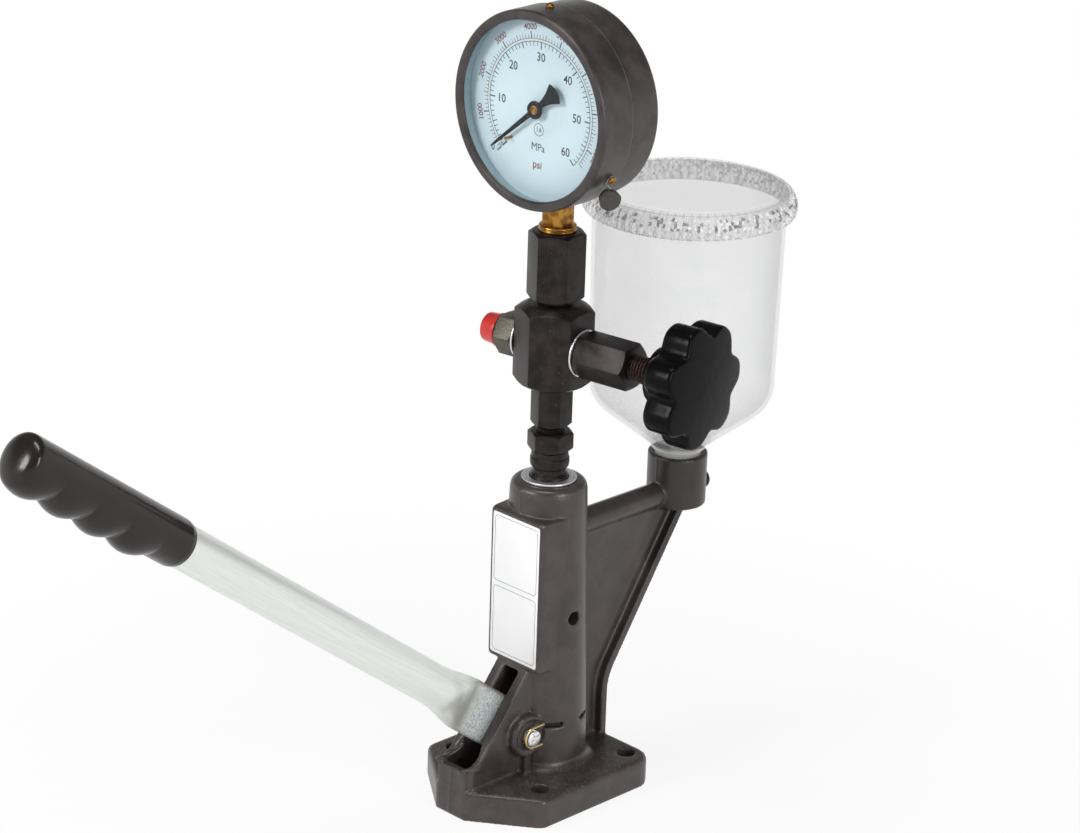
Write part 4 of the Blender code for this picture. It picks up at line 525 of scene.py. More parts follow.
oiled = clouded("oiled_steel", 0.004, 3, (0.18, 0.17, 0.16), (0.30, 0.29, 0.28), 0.22, 0.18, Metallic=1.0)
oiled.bump(oiled.noise(0.0008, 2), 0.00002)
repainted(oiled, "pump_barrel", "plunger", "tappet", "lower_spring_seat", "upper_spring_seat",
          "delivery_valve_seat", "delivery_valve", "delivery_valve_spring")

# The spring is a plain coil of wire that stands between its seats.
coil_radius, wire_radius, coils, steps_round = 0.0127, 0.0012, 5, 24
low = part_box("lower_spring_seat")[1][2] + wire_radius + 0.00005
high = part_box("upper_spring_seat")[0][2] - wire_radius - 0.00005
coil = []
for step in range(coils * steps_round + 1):
    turn = 2 * pi * step / steps_round
    rise = (high - low) * step / (coils * steps_round)
    coil.append((coil_radius * cos(turn), coil_radius * sin(turn), low + rise))
spring = fitted(rod("return_spring", coil, wire_radius, 12), oiled, "spring_steel", "plunger_spring",
                body=None, angle=60)
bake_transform(spring)


# Packings: pressed fibre rings that seal the holder, the spindle and the cup.
# They are squeezed between faces and dark with diesel.

fibre = clouded("pressed_fibre", 0.0009, 5, (0.07, 0.055, 0.04), (0.19, 0.15, 0.11), 0.7, 0.2, 0.00012)
repainted(fibre, "holder_gasket", "gland_packing", "cup_gasket")


# Column washer: a bright steel ring under the valve holder, with a chamfered edge.
# It is turned from bar and a little tarnished, in fine cloudy spots.

washer_low = column_top + 0.0003
washer_top = washer_low + 0.0012
corners = [(0.0105, 0.17250, 0), (0.0105, washer_low, 0), (0.0144, washer_low, 0.0002),
           (0.0144, washer_top, 0.0004), (0.0105, washer_top, 0.0002)]
bright = clouded("bright_washer_steel", 0.0011, 4, (0.58, 0.58, 0.60), (0.86, 0.86, 0.88), 0.2, 0.26, 0.00006,
                 Metallic=0.92)
fitted(spun("column_washer", corners), bright, "bright_steel", "column_top_washer")


# Valve holder: a grooved round fitting screwed into the column over the delivery valve.
# It is turned from steel and blackened in oil, like every fitting above it.

holder_corners = [
    (0.0079, 0.1870, 0), (0.0079, 0.1880, 0.0003), (0.0096, 0.1880, 0.0006), (0.0096, 0.1846, 0.0004),
    (0.01015, 0.1842, 0.0005), (0.01025, 0.1818, 0.0006), (0.0100, 0.1798, 0.0004), (0.0086, 0.1782, 0.0006),
    (0.0086, 0.1762, 0.0007), (0.01015, 0.1745, 0.0007), (0.01020, 0.1722, 0.0003), (0.0090, 0.1718, 0),
    (0.0079, 0.1718, 0)]
blackened = Finish("blackened_steel", Metallic=0.35, Specular_IOR_Level=0.24)
tint = blackened.noise(0.007, 4)
scratch = blackened.noise(0.0005, 3, blackened.mapped(blackened.place, (1, 1, 0.12)))
flecks = blackened.dots(0.0014, 0.05)
colour = blackened.mix(blackened.step(tint, 0.3, 0.7), (0.0125, 0.0090, 0.0088), (0.0300, 0.0225, 0.0220))
colour = blackened.mix(blackened.step(scratch, 0.55, 0.75) * 0.3, colour, (0.075, 0.058, 0.055))
blackened.set("Base Color", blackened.mix(flecks * 0.4, colour, (0.26, 0.22, 0.21)))
blackened.set("Roughness", 0.24 + 0.18 * tint + 0.1 * scratch)
blackened.bump(scratch * 0.4 + blackened.noise(0.0013, 3) * 0.8 + flecks, 0.00005)
fitted(spun("valve_holder", holder_corners), blackened, "black_oxide_steel", "delivery_valve_holder")
repainted(blackened, "retaining_clip", "locating_screw")


# Lock nut: a thin blackened hexagon that clamps the riser in the valve holder.
# Its corners are turned away at both ends, and its edges are broken.

def hexagon(name, across, low, high, turn=0, top_too=True, face=None, soft=0.00028):
    """A hexagon bar whose corners are turned away at its low end, and as a rule at its top too."""
    face = face or across * 0.47
    corner = across / sqrt(3)
    beyond = corner + 0.002
    slope = (beyond - face) * tan(radians(30))
    top = [(face, high, 0), (beyond, high - slope, 0)] if top_too else [(beyond, high, 0)]
    line = [(0, high, 0)] + top + [(beyond, low + slope, 0), (face, low, 0), (0, low, 0)]
    only()
    bpy.ops.mesh.primitive_cylinder_add(vertices=6, radius=corner, depth=high - low + 0.004,
                                        location=(0, 0, (low + high) / 2), rotation=(0, 0, turn))
    bar = bpy.context.object
    bar.name = name
    carved(settled(bar), spun(name + "_turning", line, 72), "INTERSECT")
    return softened(bar, soft, 20, 3, clamp=False)


nut_yaw = radians(5.7)
nut = hexagon("lock_nut_hex", 0.0210, 0.1883, 0.1986, nut_yaw)
fitted(nut, blackened, "black_oxide_steel", "lock_nut")


# Riser connector: a hexagon with a threaded foot that carries the cross block.
# A few turns of its thread stay in sight above the lock nut.

def threaded(name, root, crest, pitch, low, high, points=40):
    """A round bar with a screw thread from low to high."""
    count = round((high - low) / pitch * 8)
    rows = []
    for index in range(count + 1):
        z = low + (high - low) * index / count
        row = []
        for step in range(points + 1):
            turn = 2 * pi * (step % points) / points
            phase = (z / pitch - turn / (2 * pi)) % 1
            radius = root + (crest - root) * min(1, 1.35 * (1 - abs(2 * phase - 1)))
            row.append((radius * cos(turn), radius * sin(turn), z))
        rows.append(row)
    return skinned(name, rows)


upper_yaw = radians(8.3)
riser = hexagon("riser_hex", 0.0188, 0.2020, 0.2230, upper_yaw, top_too=False)
foot = threaded("riser_thread", 0.0067, 0.0075, 0.00125, 0.1980, 0.2030)
fitted(joined("riser_with_thread", [riser, foot]), blackened, "black_oxide_steel",
       "riser_connector")


# Cross block: a thick hexagon on which gauge, valve and outlet meet.
# Its end faces are turned to a wide chamfer, and both side ports are spot-faced.

valve_height = 0.2447
valve_frame = standing(0, 0, valve_height, 0, pi / 2, upper_yaw)
outlet_frame = standing(0, 0, valve_height, 0, -pi / 2, upper_yaw)
cross = hexagon("cross_block_hex", 0.0360, 0.2233, 0.2675, upper_yaw, face=0.0140, soft=0.0004)
fitted(cross, blackened, "black_oxide_steel", "cross_block")


# Gauge nut: a long blackened hexagon, screwed into the cross block by its neck.
# The gauge's brass stem is tightened into its top.

gauge_nut = hexagon("gauge_nut_hex", 0.0260, 0.2700, 0.3060, nut_yaw)
neck = spun("gauge_nut_neck", [(0, 0.2720, 0), (0.0092, 0.2720, 0.0003), (0.0090, 0.2678, 0.0003),
                               (0, 0.2678, 0)], 64)
fitted(joined("gauge_nut_with_neck", [gauge_nut, neck]), blackened, "black_oxide_steel",
       "gauge_nut")


# Gauge stem: amber brass with a round collar and four wrench flats, soldered to the gauge tube.
# The lacquer on it has gone darker in the corners.

gauge_yaw = radians(2.57)
gauge_height = 0.3719
gauge_frame = standing(0, 0, gauge_height, pi / 2, 0, gauge_yaw)
only()
bpy.ops.mesh.primitive_cylinder_add(vertices=4, radius=0.0136 / sqrt(2), depth=0.03,
                                    location=(0, 0, 0.3175), rotation=(0, 0, gauge_yaw + pi / 4))
flats = settled(bpy.context.object)
flats.name = "stem_flats"
bar = [(0, 0.3235, 0), (0.0080, 0.3235, 0.0003), (0.0080, 0.3090, 0), (0, 0.3090, 0)]
carved(flats, spun("stem_bar", bar, 96), "INTERSECT")
softened(flats, 0.0002, 30, clamp=False)
collar = spun("stem_collar", [
    (0, 0.3098, 0), (0.0078, 0.3098, 0.0003), (0.0084, 0.3093, 0.0002), (0.0094, 0.3092, 0.0006),
    (0.0097, 0.3085, 0.0004), (0.0092, 0.3078, 0.0003), (0.0098, 0.3071, 0.0005), (0.0097, 0.3063, 0.0003),
    (0, 0.3063, 0)], 96)
brass = Finish("lacquered_brass", Metallic=0.9)
lacquer = brass.noise(0.0035, 4)
colour = brass.mix(brass.step(lacquer, 0.35, 0.65), (0.20, 0.085, 0.013), (0.46, 0.235, 0.045))
brass.set("Base Color", colour)
brass.set("Roughness", 0.2 + 0.2 * lacquer)
brass.bump(brass.noise(0.0008, 3), 0.00004)
fitted(joined("brass_stem", [flats, collar]), brass, "brass", "gauge_stem")


# Gauge case: a drawn steel cup in satin black enamel, closed by a pressed bezel ring.
# The bezel slides over the case, so a seam runs round the side halfway back, with a painted highlight along
# it.

case_corners = [
    (0, -0.0150, 0), (0.0440, -0.0150, 0.0006), (0.0448, -0.0167, 0.0010), (0.0495, -0.0167, 0.0032),
    (0.0495, 0.0050, 0.0003), (0.0480, 0.0050, 0), (0.0480, -0.0130, 0), (0, -0.0130, 0)]
case = settled(spun("gauge_case_shell", case_corners, 144, 6), gauge_frame)
bezel_corners = [
    (0.0496, 0.0100, 0), (0.0496, 0.0215, 0), (0.0453, 0.0228, 0.0002), (0.0453, 0.0238, 0.0004),
    (0.0463, 0.02475, 0.0006), (0.0487, 0.02475, 0.0008), (0.0500, 0.0245, 0.0012), (0.0505, 0.0228, 0.0016),
    (0.0504, 0.0070, 0.002), (0.0505, 0.0040, 0.0003), (0.0500, 0.0033, 0.0002), (0.0496, 0.0033, 0)]
bezel = settled(spun("gauge_bezel_ring", bezel_corners, 144, 6), gauge_frame)
enamel = Finish("black_enamel", Specular_IOR_Level=0.45)
patches = enamel.noise(0.010, 4)
peel = enamel.noise(0.0010, 2)
colour = enamel.mix(enamel.step(patches, 0.3, 0.7), (0.0290, 0.0235, 0.0215), (0.0560, 0.0460, 0.0430))
gauge_axis = gauge_frame.to_3x3() @ Vector((0, 0, 1))
along = enamel.node("VectorMath", {"operation": "DOT_PRODUCT"}, {0: enamel.place, 1: gauge_axis},
                    output="Value") - (gauge_axis.dot(gauge_frame.translation) + 0.0037)
# Painted highlight: a thin pale line is painted round the case where the bezel's rear edge meets it.
painted_seam_highlight = 1 - enamel.step(along * along, 0.0000001, 0.0000004)
colour = enamel.mix(painted_seam_highlight * 0.55 * patches, colour, (0.34, 0.29, 0.26))
enamel.set("Base Color", enamel.mix(enamel.dots(0.002, 0.02) * 0.35, colour, (0.20, 0.18, 0.17)))
enamel.set("Roughness", 0.25 + 0.16 * patches + 0.05 * peel)
enamel.bump(peel * 0.7 + enamel.noise(0.02, 2) * 2, 0.00003)
fitted(case, enamel, "black_enamel", "gauge_case")
fitted(bezel, enamel, "black_enamel", "gauge_bezel")


# Gauge dial: a pale blue-white enamelled disc, with a grey-blue wall ring up to the glass.
# Two scales are printed on it, black inside and dark red outside.

dial_plane = 0.01636
dial = spun("gauge_dial_disc", [(0.0018, 0.0158, 0), (0.0018, dial_plane, 0), (0.0476, dial_plane, 0.0002),
                                (0.0476, 0.01556, 0), (0.0018, 0.01556, 0)], 144)
dial_paint = Finish("dial_enamel", Specular_IOR_Level=0.4)
faint = dial_paint.noise(0.03, 2)
# Painted shade: the dial's colour darkens towards its rim, where the bezel and the wall ring shade it.
from_centre = dial_paint.length(dial_paint.mapped(dial_paint.place, move=(0, 0, -gauge_height)))
shade = dial_paint.step(from_centre, 0.030, 0.0505)
colour = dial_paint.mix(faint, (0.68, 0.85, 0.91), (0.72, 0.89, 0.95))
dial_paint.set("Base Color", dial_paint.mix(shade * 0.35, colour, (0.42, 0.56, 0.62)))
dial_paint.set("Roughness", 0.36 + 0.1 * dial_paint.noise(0.0012, 2))
fitted(settled(dial, gauge_frame), dial_paint, "dial_paint", "gauge_dial")

wall = spun("dial_wall_ring", [(0.0468, 0.0180, 0), (0.0468, 0.0211, 0.0001), (0.0475, 0.0211, 0),
                               (0.0475, 0.0165, 0), (0.0468, 0.0165, 0)], 144)
wall_paint = Finish("dial_wall_paint", Specular_IOR_Level=0.4)
colour = wall_paint.mix(wall_paint.noise(0.012, 2), (0.20, 0.29, 0.33), (0.28, 0.38, 0.42))
wall_paint.set("Base Color", colour)
wall_paint.set("Roughness", 0.4 + 0.1 * wall_paint.noise(0.002, 2))
fitted(settled(wall, gauge_frame), wall_paint, "dial_paint")

ink_plane = dial_plane + 0.00003


def dial_spot(radius, angle):
    return radius * sin(radians(angle)), radius * cos(radians(angle))


def ticks(name, marks):
    """Printed marks from (angle, inner radius, outer radius, width): one thin bar, copied round."""
    first = box((1, 1, 1), 0, 0, 0)
    bars = []
    for angle, inner, outer, width in marks:
        bar = bpy.data.objects.new("tick", first.data.copy())
        bpy.context.scene.collection.objects.link(bar)
        x, y = dial_spot((inner + outer) / 2, angle)
        size = Matrix.Diagonal((width, outer - inner, 0.00003, 1))
        settled(bar, standing(x, y, ink_plane - 0.000015, 0, 0, -radians(angle)) @ size)
        bars.append(bar)
    bpy.data.objects.remove(first)
    return joined(name, bars)


def circle_line(name, radius, width, start, end):
    """A printed arc, clockwise from the top."""
    count = round(abs(end - start) / 2)
    angles = [start + (end - start) * step / count for step in range(count + 1)]
    line = [dial_spot(radius + width / 2, angle) for angle in angles]
    line += [dial_spot(radius - width / 2, angle) for angle in reversed(angles)]
    return slab(name, line, dial_plane, ink_plane)


def lettering(text, size, radius, angle, turn=0, squeeze=1.0, bold=0.0):
    """A printed word or number, centred on its place."""
    only()
    bpy.ops.object.text_add()
    words = bpy.context.object
    words.data.body = text
    words.data.size = size
    words.data.align_x = "CENTER"
    words.data.align_y = "CENTER"
    words.data.offset = bold
    words.data.extrude = 0.000012
    words.data.resolution_u = 3
    bpy.ops.object.convert(target="MESH")
    place = standing(*dial_spot(radius, angle), ink_plane, 0, 0, -radians(turn))
    return settled(words, place @ Matrix.Scale(squeeze, 4, (1, 0, 0)))


# Both scales start at the same angle; 60 MPa are 270 degrees, and 8702 psi are 60 MPa.
start_angle, one_mpa, thousand_psi = -135, 4.5, 270 / 8.702
marks = []
for index in range(61):
    length, width = (0.0022, 0.00036)
    if index % 5 == 0:
        length, width = (0.0036, 0.00062) if index % 10 == 0 else (0.0030, 0.00046)
    marks.append((start_angle + one_mpa * index, 0.03355 - length, 0.03355, width))
arc = circle_line("megapascal_arc", 0.03355, 0.00034, start_angle, 135)
black_print = [ticks("megapascal_ticks", marks), arc]
for number, radius in ((10, 0.0256), (20, 0.0258), (30, 0.0259), (40, 0.0256), (50, 0.0248), (60, 0.0257)):
    angle = start_angle + one_mpa * number
    black_print.append(lettering(str(number), 0.0062, radius, angle, 0, 0.92, 0.00006))
black_print.append(lettering("0", 0.0050, 0.0402, -130.6, 0, 0.9, 0.00006))
black_print.append(lettering("MPa", 0.0056, 0.0199, 180.5, 0, 0.95))
black_print.append(lettering("1.6", 0.0036, 0.0107, 180, 0, 0.85, 0.00004))
class_ring = circle_line("class_ring", 0.0031, 0.00030, 0, 360)
black_print.append(settled(class_ring, Matrix.Translation((0, -0.0107, 0))))
black_marks = settled(joined("dial_black_print", black_print), gauge_frame)
black_ink = clouded("black_dial_ink", 0.0009, 3, (0.012, 0.014, 0.020), (0.05, 0.055, 0.065), 0.4, 0.15)
fitted(black_marks, black_ink, "dial_paint")

marks = []
for hundreds in range(86):
    angle = start_angle + thousand_psi * hundreds / 10
    if hundreds % 10:
        length, width = (0.0027, 0.00036) if hundreds % 5 == 0 else (0.0020, 0.00028)
        marks.append((angle, 0.0351, 0.0351 + length, width))
red_print = [ticks("psi_ticks", marks), circle_line("psi_arc", 0.0350, 0.00028, start_angle, 129)]
red_print.append(lettering("psi", 0.0056, 0.0288, 180.5, 0, 1.0, 0.00005))
for thousands in range(1, 9):
    angle = start_angle + thousand_psi * thousands
    red_print.append(lettering(str(1000 * thousands), 0.0045, 0.0407, angle, angle, 0.95, 0.00005))
red_marks = settled(joined("dial_red_print", red_print), gauge_frame)
red_ink = clouded("red_dial_ink", 0.0009, 3, (0.14, 0.020, 0.035), (0.24, 0.055, 0.075), 0.4, 0.15)
fitted(red_marks, red_ink, "dial_paint")

marks = [(start_angle + thousand_psi * thousands, 0.0350, 0.0386, 0.00060) for thousands in range(9)]
fitted(settled(ticks("psi_long_ticks", marks), gauge_frame), black_ink, "dial_paint")


# Pointer: a black pressed needle with a fan-shaped tail on a brass-centred hub.
# It rests on a small brass pin at zero.

pointer_plane = 0.01984
half = [(0.0378, 0.00030), (0.0340, 0.00070), (0.0040, 0.00140), (-0.0040, 0.00150), (-0.0080, 0.00195),
        (-0.0118, 0.00310), (-0.0148, 0.00455), (-0.0168, 0.00555), (-0.0178, 0.00400), (-0.0186, 0.00180)]
outline = half + [(along, -across) for along, across in reversed(half)]
needle = slab("needle", outline, pointer_plane - 0.0003, pointer_plane + 0.0003)
softened(needle, 0.00012, 50)
settled(needle, Matrix.Rotation(radians(220.4), 4, "Z"))
hub = spun("hub", [(0.0027, 0.0203, 0), (0.0027, 0.0210, 0.0003), (0.0042, 0.0210, 0.0006),
                   (0.0046, 0.0200, 0), (0.0046, 0.0192, 0.0003), (0.0027, 0.0192, 0)], 48)
black_needle = clouded("needle_black", 0.001, 3, (0.006, 0.006, 0.007), (0.014, 0.013, 0.014), 0.4, 0.2,
                       Specular_IOR_Level=0.15)
fitted(settled(joined("gauge_needle", [needle, hub]), gauge_frame), black_needle, "pointer_black",
       "gauge_pointer", body="pointer_group")

cap = [(0, 0.0208, 0), (0.0008, 0.0208, 0.0001), (0.0010, 0.0205, 0.0001), (0.0023, 0.0207, 0.0003),
       (0.0026, 0.0203, 0), (0.0026, 0.0196, 0), (0, 0.0196, 0)]
fitted(settled(spun("hub_centre", cap, 40), gauge_frame), brass, "brass", "pointer_shaft",
       body="pointer_group")

pin_x, pin_y = dial_spot(0.0256, -135.2)
stop = spun("zero_pin", [(0, 0.0212, 0), (0.0008, 0.0212, 0.0004), (0.0007, 0.0164, 0), (0, 0.0164, 0)], 24)
fitted(settled(stop, gauge_frame @ Matrix.Translation((pin_x, pin_y, 0))), brass, "brass",
       "pointer_stop_pin")


# Gauge movement: brass plates, gear sector, link and the bent copper pressure tube.
# They are closed in behind the dial.

copper = clouded("drawn_copper", 0.004, 4, (0.36, 0.14, 0.07), (0.68, 0.33, 0.20), 0.22, 0.2, Metallic=1.0)
repainted(copper, "bourdon_tube")
repainted(brass, "movement_frame", "sector_gear", "tip_link")


# Gauge glass: a flat clear disc held under the bezel's lip.
# It only lays a faint sheen over the dial.

pane = [(0, 0.0226, 0), (0.0472, 0.0226, 0.0003), (0.0472, 0.0214, 0.0003), (0, 0.0214, 0)]
pane_glass = clouded("gauge_glass", 0.03, 3, (0.30, 0.36, 0.40), (0.45, 0.52, 0.56), 0.05, 0.06,
                     Specular_IOR_Level=0.6)
pane_glass.set("Alpha", 0.012 + 0.03 * pane_glass.clouds)
fitted(settled(spun("gauge_pane", pane, 144), gauge_frame), pane_glass, "gauge_glass", "gauge_glass")


# Bezel screws: three small brass screws with slotted round heads.
# They go through the bezel's side into the case.

# The head of the second one stands off, because the seal's wire lies under it.
screw_angles = (90, -32, 212)
for number, angle in enumerate(screw_angles, 1):
    seat = 0.0519 if number == 2 else 0.0508
    screw = spun("bezel_screw_slotted_%d" % number, [
        (0, seat + 0.0016, 0), (0.0017, seat + 0.0014, 0.0008), (0.0024, seat + 0.0005, 0.0003),
        (0.0024, seat, 0.0001), (0.0012, seat, 0), (0.0012, 0.0485, 0), (0, 0.0485, 0)], 32)
    carved(screw, box((0.006, 0.0006, 0.0014), 0, 0, seat + 0.0016))
    settled(screw, gauge_frame @ standing(0, 0, 0.0110, 0, pi / 2, radians(angle)))
    fitted(screw, brass, "brass", "bezel_screw_%d" % number)


# Lead seal: a twisted wire through the second screw, crimped into a small lead disc.
# The disc's faces are bare, dented by the crimping pliers, and it hangs free.

screw_turn = radians(screw_angles[1])
eye = Vector((0.0512 * cos(screw_turn), 0.0512 * sin(screw_turn), 0.0110))
lead_middle = eye + Vector((0, -0.0105, 0))
tangent = Vector((sin(screw_turn), -cos(screw_turn), 0))
front = Vector((0, 0, 1))
loop_radius = 0.0018
loop = []
for step in range(11):
    turn = radians(54 + 25.2 * step)
    loop.append(eye + tangent * (loop_radius * cos(turn)) + front * (loop_radius * sin(turn)))
strands = []
for sign in (1, -1):
    tail = []
    bend = eye + tangent * 0.0033 + front * (0.0006 * sign)
    top = lead_middle + Vector((0, 0.0046, 0))
    for step in range(13):
        part = step / 12
        twist = pi * 2.5 * part + (0 if sign > 0 else pi)
        tail.append(bend.lerp(top, part) + Vector((0.0004 * sin(twist), 0, 0.0004 * cos(twist))))
    strands.append(tail)
path = list(reversed(strands[0])) + loop + strands[1]
wire = settled(rod("twisted_wire", path, 0.00032, 10), gauge_frame)
fitted(wire, steel, "plain_steel", "seal_wire", body="seal_group", angle=60)

rows = []
for index in range(41):
    turn = 2 * pi * (index % 40) / 40
    ragged = 1 + 0.035 * sin(3 * turn + 1) + 0.02 * sin(7 * turn)
    shape = ((0, 0.0017), (0.0022, 0.0016), (0.0034, 0.0019), (0.0048, 0.0018), (0.0054, 0.0012), (0.0056, 0),
             (0.0053, -0.0012), (0.0046, -0.0018), (0.0032, -0.0018), (0.0020, -0.0015), (0, -0.0016))
    rows.append([(radius * ragged * cos(turn), radius * ragged * sin(turn), z) for radius, z in shape])
seal = skinned("crimped_lead", rows)
worked(seal, "SUBSURF", levels=1, render_levels=1)
lead = Finish("grey_lead", Metallic=0.35)
dents = lead.noise(0.0007, 4)
lead.set("Base Color", lead.mix(lead.step(dents, 0.2, 0.8), (0.030, 0.027, 0.026), (0.085, 0.078, 0.073)))
lead.set("Roughness", 0.42 + 0.2 * dents)
lead.bump(dents + lead.noise(0.0005, 2) * 0.4, 0.00045)
fitted(settled(seal, gauge_frame @ standing(*lead_middle, 0, pi / 4, 0)), lead, "lead", "lead_seal",
       body="seal_group", angle=60)


# Shut-off valve: a hexagon bonnet on a bright washer at the cross block's side.
# A rust-brown threaded spindle comes out of it and carries the knob.

def side_washer(name, low, outer, inner):
    high = low + 0.0011
    return spun(name, [(inner, (low + high) / 2, 0), (inner, high, 0.0002), (outer, high, 0.0004),
                       (outer, low, 0.0004), (inner, low, 0.0002)], 72)


washer = settled(side_washer("valve_side_washer", 0.0183, 0.0123, 0.0086), valve_frame)
fitted(washer, bright, "bright_steel", "valve_washer")
bonnet = hexagon("bonnet_hex", 0.0220, 0.0197, 0.0510, radians(4.5))
fitted(settled(bonnet, valve_frame), blackened, "black_oxide_steel", "valve_bonnet")

spindle = threaded("spindle_thread", 0.0059, 0.0070, 0.00175, 0.0480, 0.0700, 48)
rust = Finish("browned_steel", Metallic=0.45)
crust = rust.noise(0.0016, 5)
rust.set("Base Color", rust.mix(rust.step(crust, 0.35, 0.7), (0.016, 0.007, 0.0065), (0.070, 0.030, 0.024)))
rust.set("Roughness", 0.34 + 0.25 * crust)
rust.bump(crust, 0.00010)
fitted(settled(spindle, valve_frame), rust, "reddish_oxide_steel", "valve_spindle", body="spindle_group")


# Star knob: a wheel moulded in black phenolic resin, with seven lobes and a round hub.
# It is glossy, with a fine flash line round the front edge and a face that rises a little.

def star(turn, share=1.0, circle=0.0):
    """The knob's radius in this direction, faded by its share towards a circle."""
    wave = 1 - (0.5 - 0.5 * cos(7 * turn)) ** 1.5
    return (0.0263 + 0.0063 * wave) * share + circle * (1 - share)


def face_height(radius):
    """The front face is a low dome, which the lobes cut through."""
    return 0.0955 - 0.0028 * (radius / 0.0326) ** 2


def knob_ring(reach, height):
    """A ring of points whose reach follows the turn, and whose height follows the reach."""
    points = 168
    turns = [2 * pi * (step % points) / points for step in range(points + 1)]
    return [(reach(turn) * cos(turn), reach(turn) * sin(turn), height(reach(turn))) for turn in turns]


hub_and_back = [
    (0.0655, 0, 0), (0.0655, 0, 0.0138), (0.0659, 0, 0.0147), (0.0668, 0, 0.0150), (0.0738, 0, 0.0152),
    (0.0758, 0.10, 0.0160), (0.0766, 0.45, 0.0175), (0.0769, 0.90, 0.0190), (0.0773, 0.975, 0),
    (0.0781, 0.990, 0), (0.0793, 1, 0), (0.0850, 1, 0), (0.0895, 1, 0)]
front_edge = ((0, 0.0016), (0.0002, 0.0008), (0.0006, 0.0003), (0.0013, 0.00005), (0.0022, 0))
rows = [knob_ring(lambda turn: star(turn, share, circle), lambda reach: z)
        for z, share, circle in hub_and_back]
rows += [knob_ring(lambda turn: star(turn) - inset, lambda reach: face_height(reach) - drop)
         for inset, drop in front_edge]
rows += [knob_ring(lambda turn: star(turn, share), face_height)
         for share in (0.86, 0.80, 0.72, 0.60, 0.45, 0.30, 0.15, 0)]
knob = settled(skinned("bakelite_knob", rows), valve_frame @ Matrix.Rotation(pi / 2 + radians(2.5), 4, "Z"))
phenolic = clouded("black_phenolic", 0.009, 3, (0.0022, 0.0020, 0.0019), (0.0050, 0.0043, 0.0040), 0.2, 0.14,
                   Specular_IOR_Level=0.06, Coat_Roughness=0.1, Coat_IOR=1.12)
phenolic.set("Coat Weight", 0.2 + 0.3 * phenolic.clouds)
phenolic.bump(phenolic.noise(0.0035, 2) + phenolic.clouds * 2, 0.00006)
fitted(knob, phenolic, "black_bakelite", "star_knob", body="knob_group", angle=32)


# Outlet: an olive-plated union on a bright washer, closed by a red push-on cap.
# The cap is soft glossy plastic, drawn in a little towards its end.

fitted(settled(side_washer("outlet_side_washer", 0.0183, 0.0115, 0.0076), outlet_frame), bright,
       "bright_steel", "outlet_washer")
union = hexagon("union_hex", 0.0200, 0.0197, 0.0315)
nose = spun("union_nose", [(0, 0.0408, 0), (0.0030, 0.0408, 0), (0.0068, 0.0398, 0.0004), (0.0068, 0.0310, 0),
                           (0, 0.0310, 0)], 48)
olive = clouded("olive_plating", 0.003, 4, (0.050, 0.044, 0.032), (0.135, 0.122, 0.095), 0.3, 0.25,
                Metallic=0.6)
olive.bump(olive.noise(0.0009, 3), 0.00009)
fitted(settled(joined("outlet_union_hex", [union, nose]), outlet_frame), olive, "olive_plated_steel",
       "outlet_union")

red_cap = spun("red_push_cap", [
    (0, 0.0422, 0), (0.0050, 0.0423, 0.001), (0.0077, 0.0420, 0.0012), (0.0081, 0.0365, 0.001),
    (0.0083, 0.0345, 0.0003), (0.0089, 0.0341, 0.0004), (0.0089, 0.0326, 0.0004), (0.0072, 0.0326, 0.0002),
    (0.0072, 0.0410, 0.0003), (0, 0.0411, 0)], 72)
red = clouded("red_cap_plastic", 0.004, 3, (0.54, 0.022, 0.017), (0.68, 0.044, 0.032), 0.24, 0.14, 0.00008,
              Specular_IOR_Level=0.4, Coat_Roughness=0.1, Coat_IOR=1.35)
red.set("Coat Weight", 0.3 + 0.2 * red.clouds)
fitted(settled(red_cap, outlet_frame), red, "red_plastic", "outlet_cap", body="cap_group")


# Reservoir cup: a clear moulded acrylic beaker with a funnel floor, set into the arm's boss.
# Its wall is 2 mm thick and faintly grey, and it darkens where it is seen edge on.

reservoir_frame = standing(0, reservoir_y, 0)
corners = [
    (0.0502, 0.3090, 0), (0.0512, 0.3090, 0.0004), (0.0492, 0.1945, 0.018), (0.0150, 0.1672, 0.002),
    (0.0146, 0.1652, 0.0003), (0.0127, 0.1652, 0), (0.0127, 0.1500, 0.0003), (0.0040, 0.1500, 0.0003),
    (0.0040, 0.1676, 0.001), (0.0130, 0.1688, 0.003), (0.0472, 0.1957, 0.016), (0.0492, 0.3090, 0.0004)]
cup = spun("clear_cup", corners, 144, 6)
acrylic = Finish("clear_acrylic", Specular_IOR_Level=0.7)
edge_on = acrylic.edge_on(0.42, 0.15)
ripple = acrylic.noise(0.02, 3)
thick_foot = 1 - acrylic.step(acrylic.axis(acrylic.place, "Z"), 0.1655, 0.1730)
colour = acrylic.mix(edge_on, (0.60, 0.605, 0.615), (0.45, 0.455, 0.465))
acrylic.set("Base Color", acrylic.mix(thick_foot, colour, (0.62, 0.62, 0.61)))
acrylic.set("Roughness", 0.05 + 0.07 * ripple)
acrylic.set("Alpha", 0.10 + 0.17 * edge_on + 0.04 * ripple + 0.45 * thick_foot)
acrylic.bump(ripple, 0.0002)
fitted(settled(cup, reservoir_frame), acrylic, "clear_plastic", "reservoir_cup")


# Reservoir lid: a clear moulded screw lid with a flat disc and a finely ribbed rim.
# The ribs catch the light as white and dark flecks.

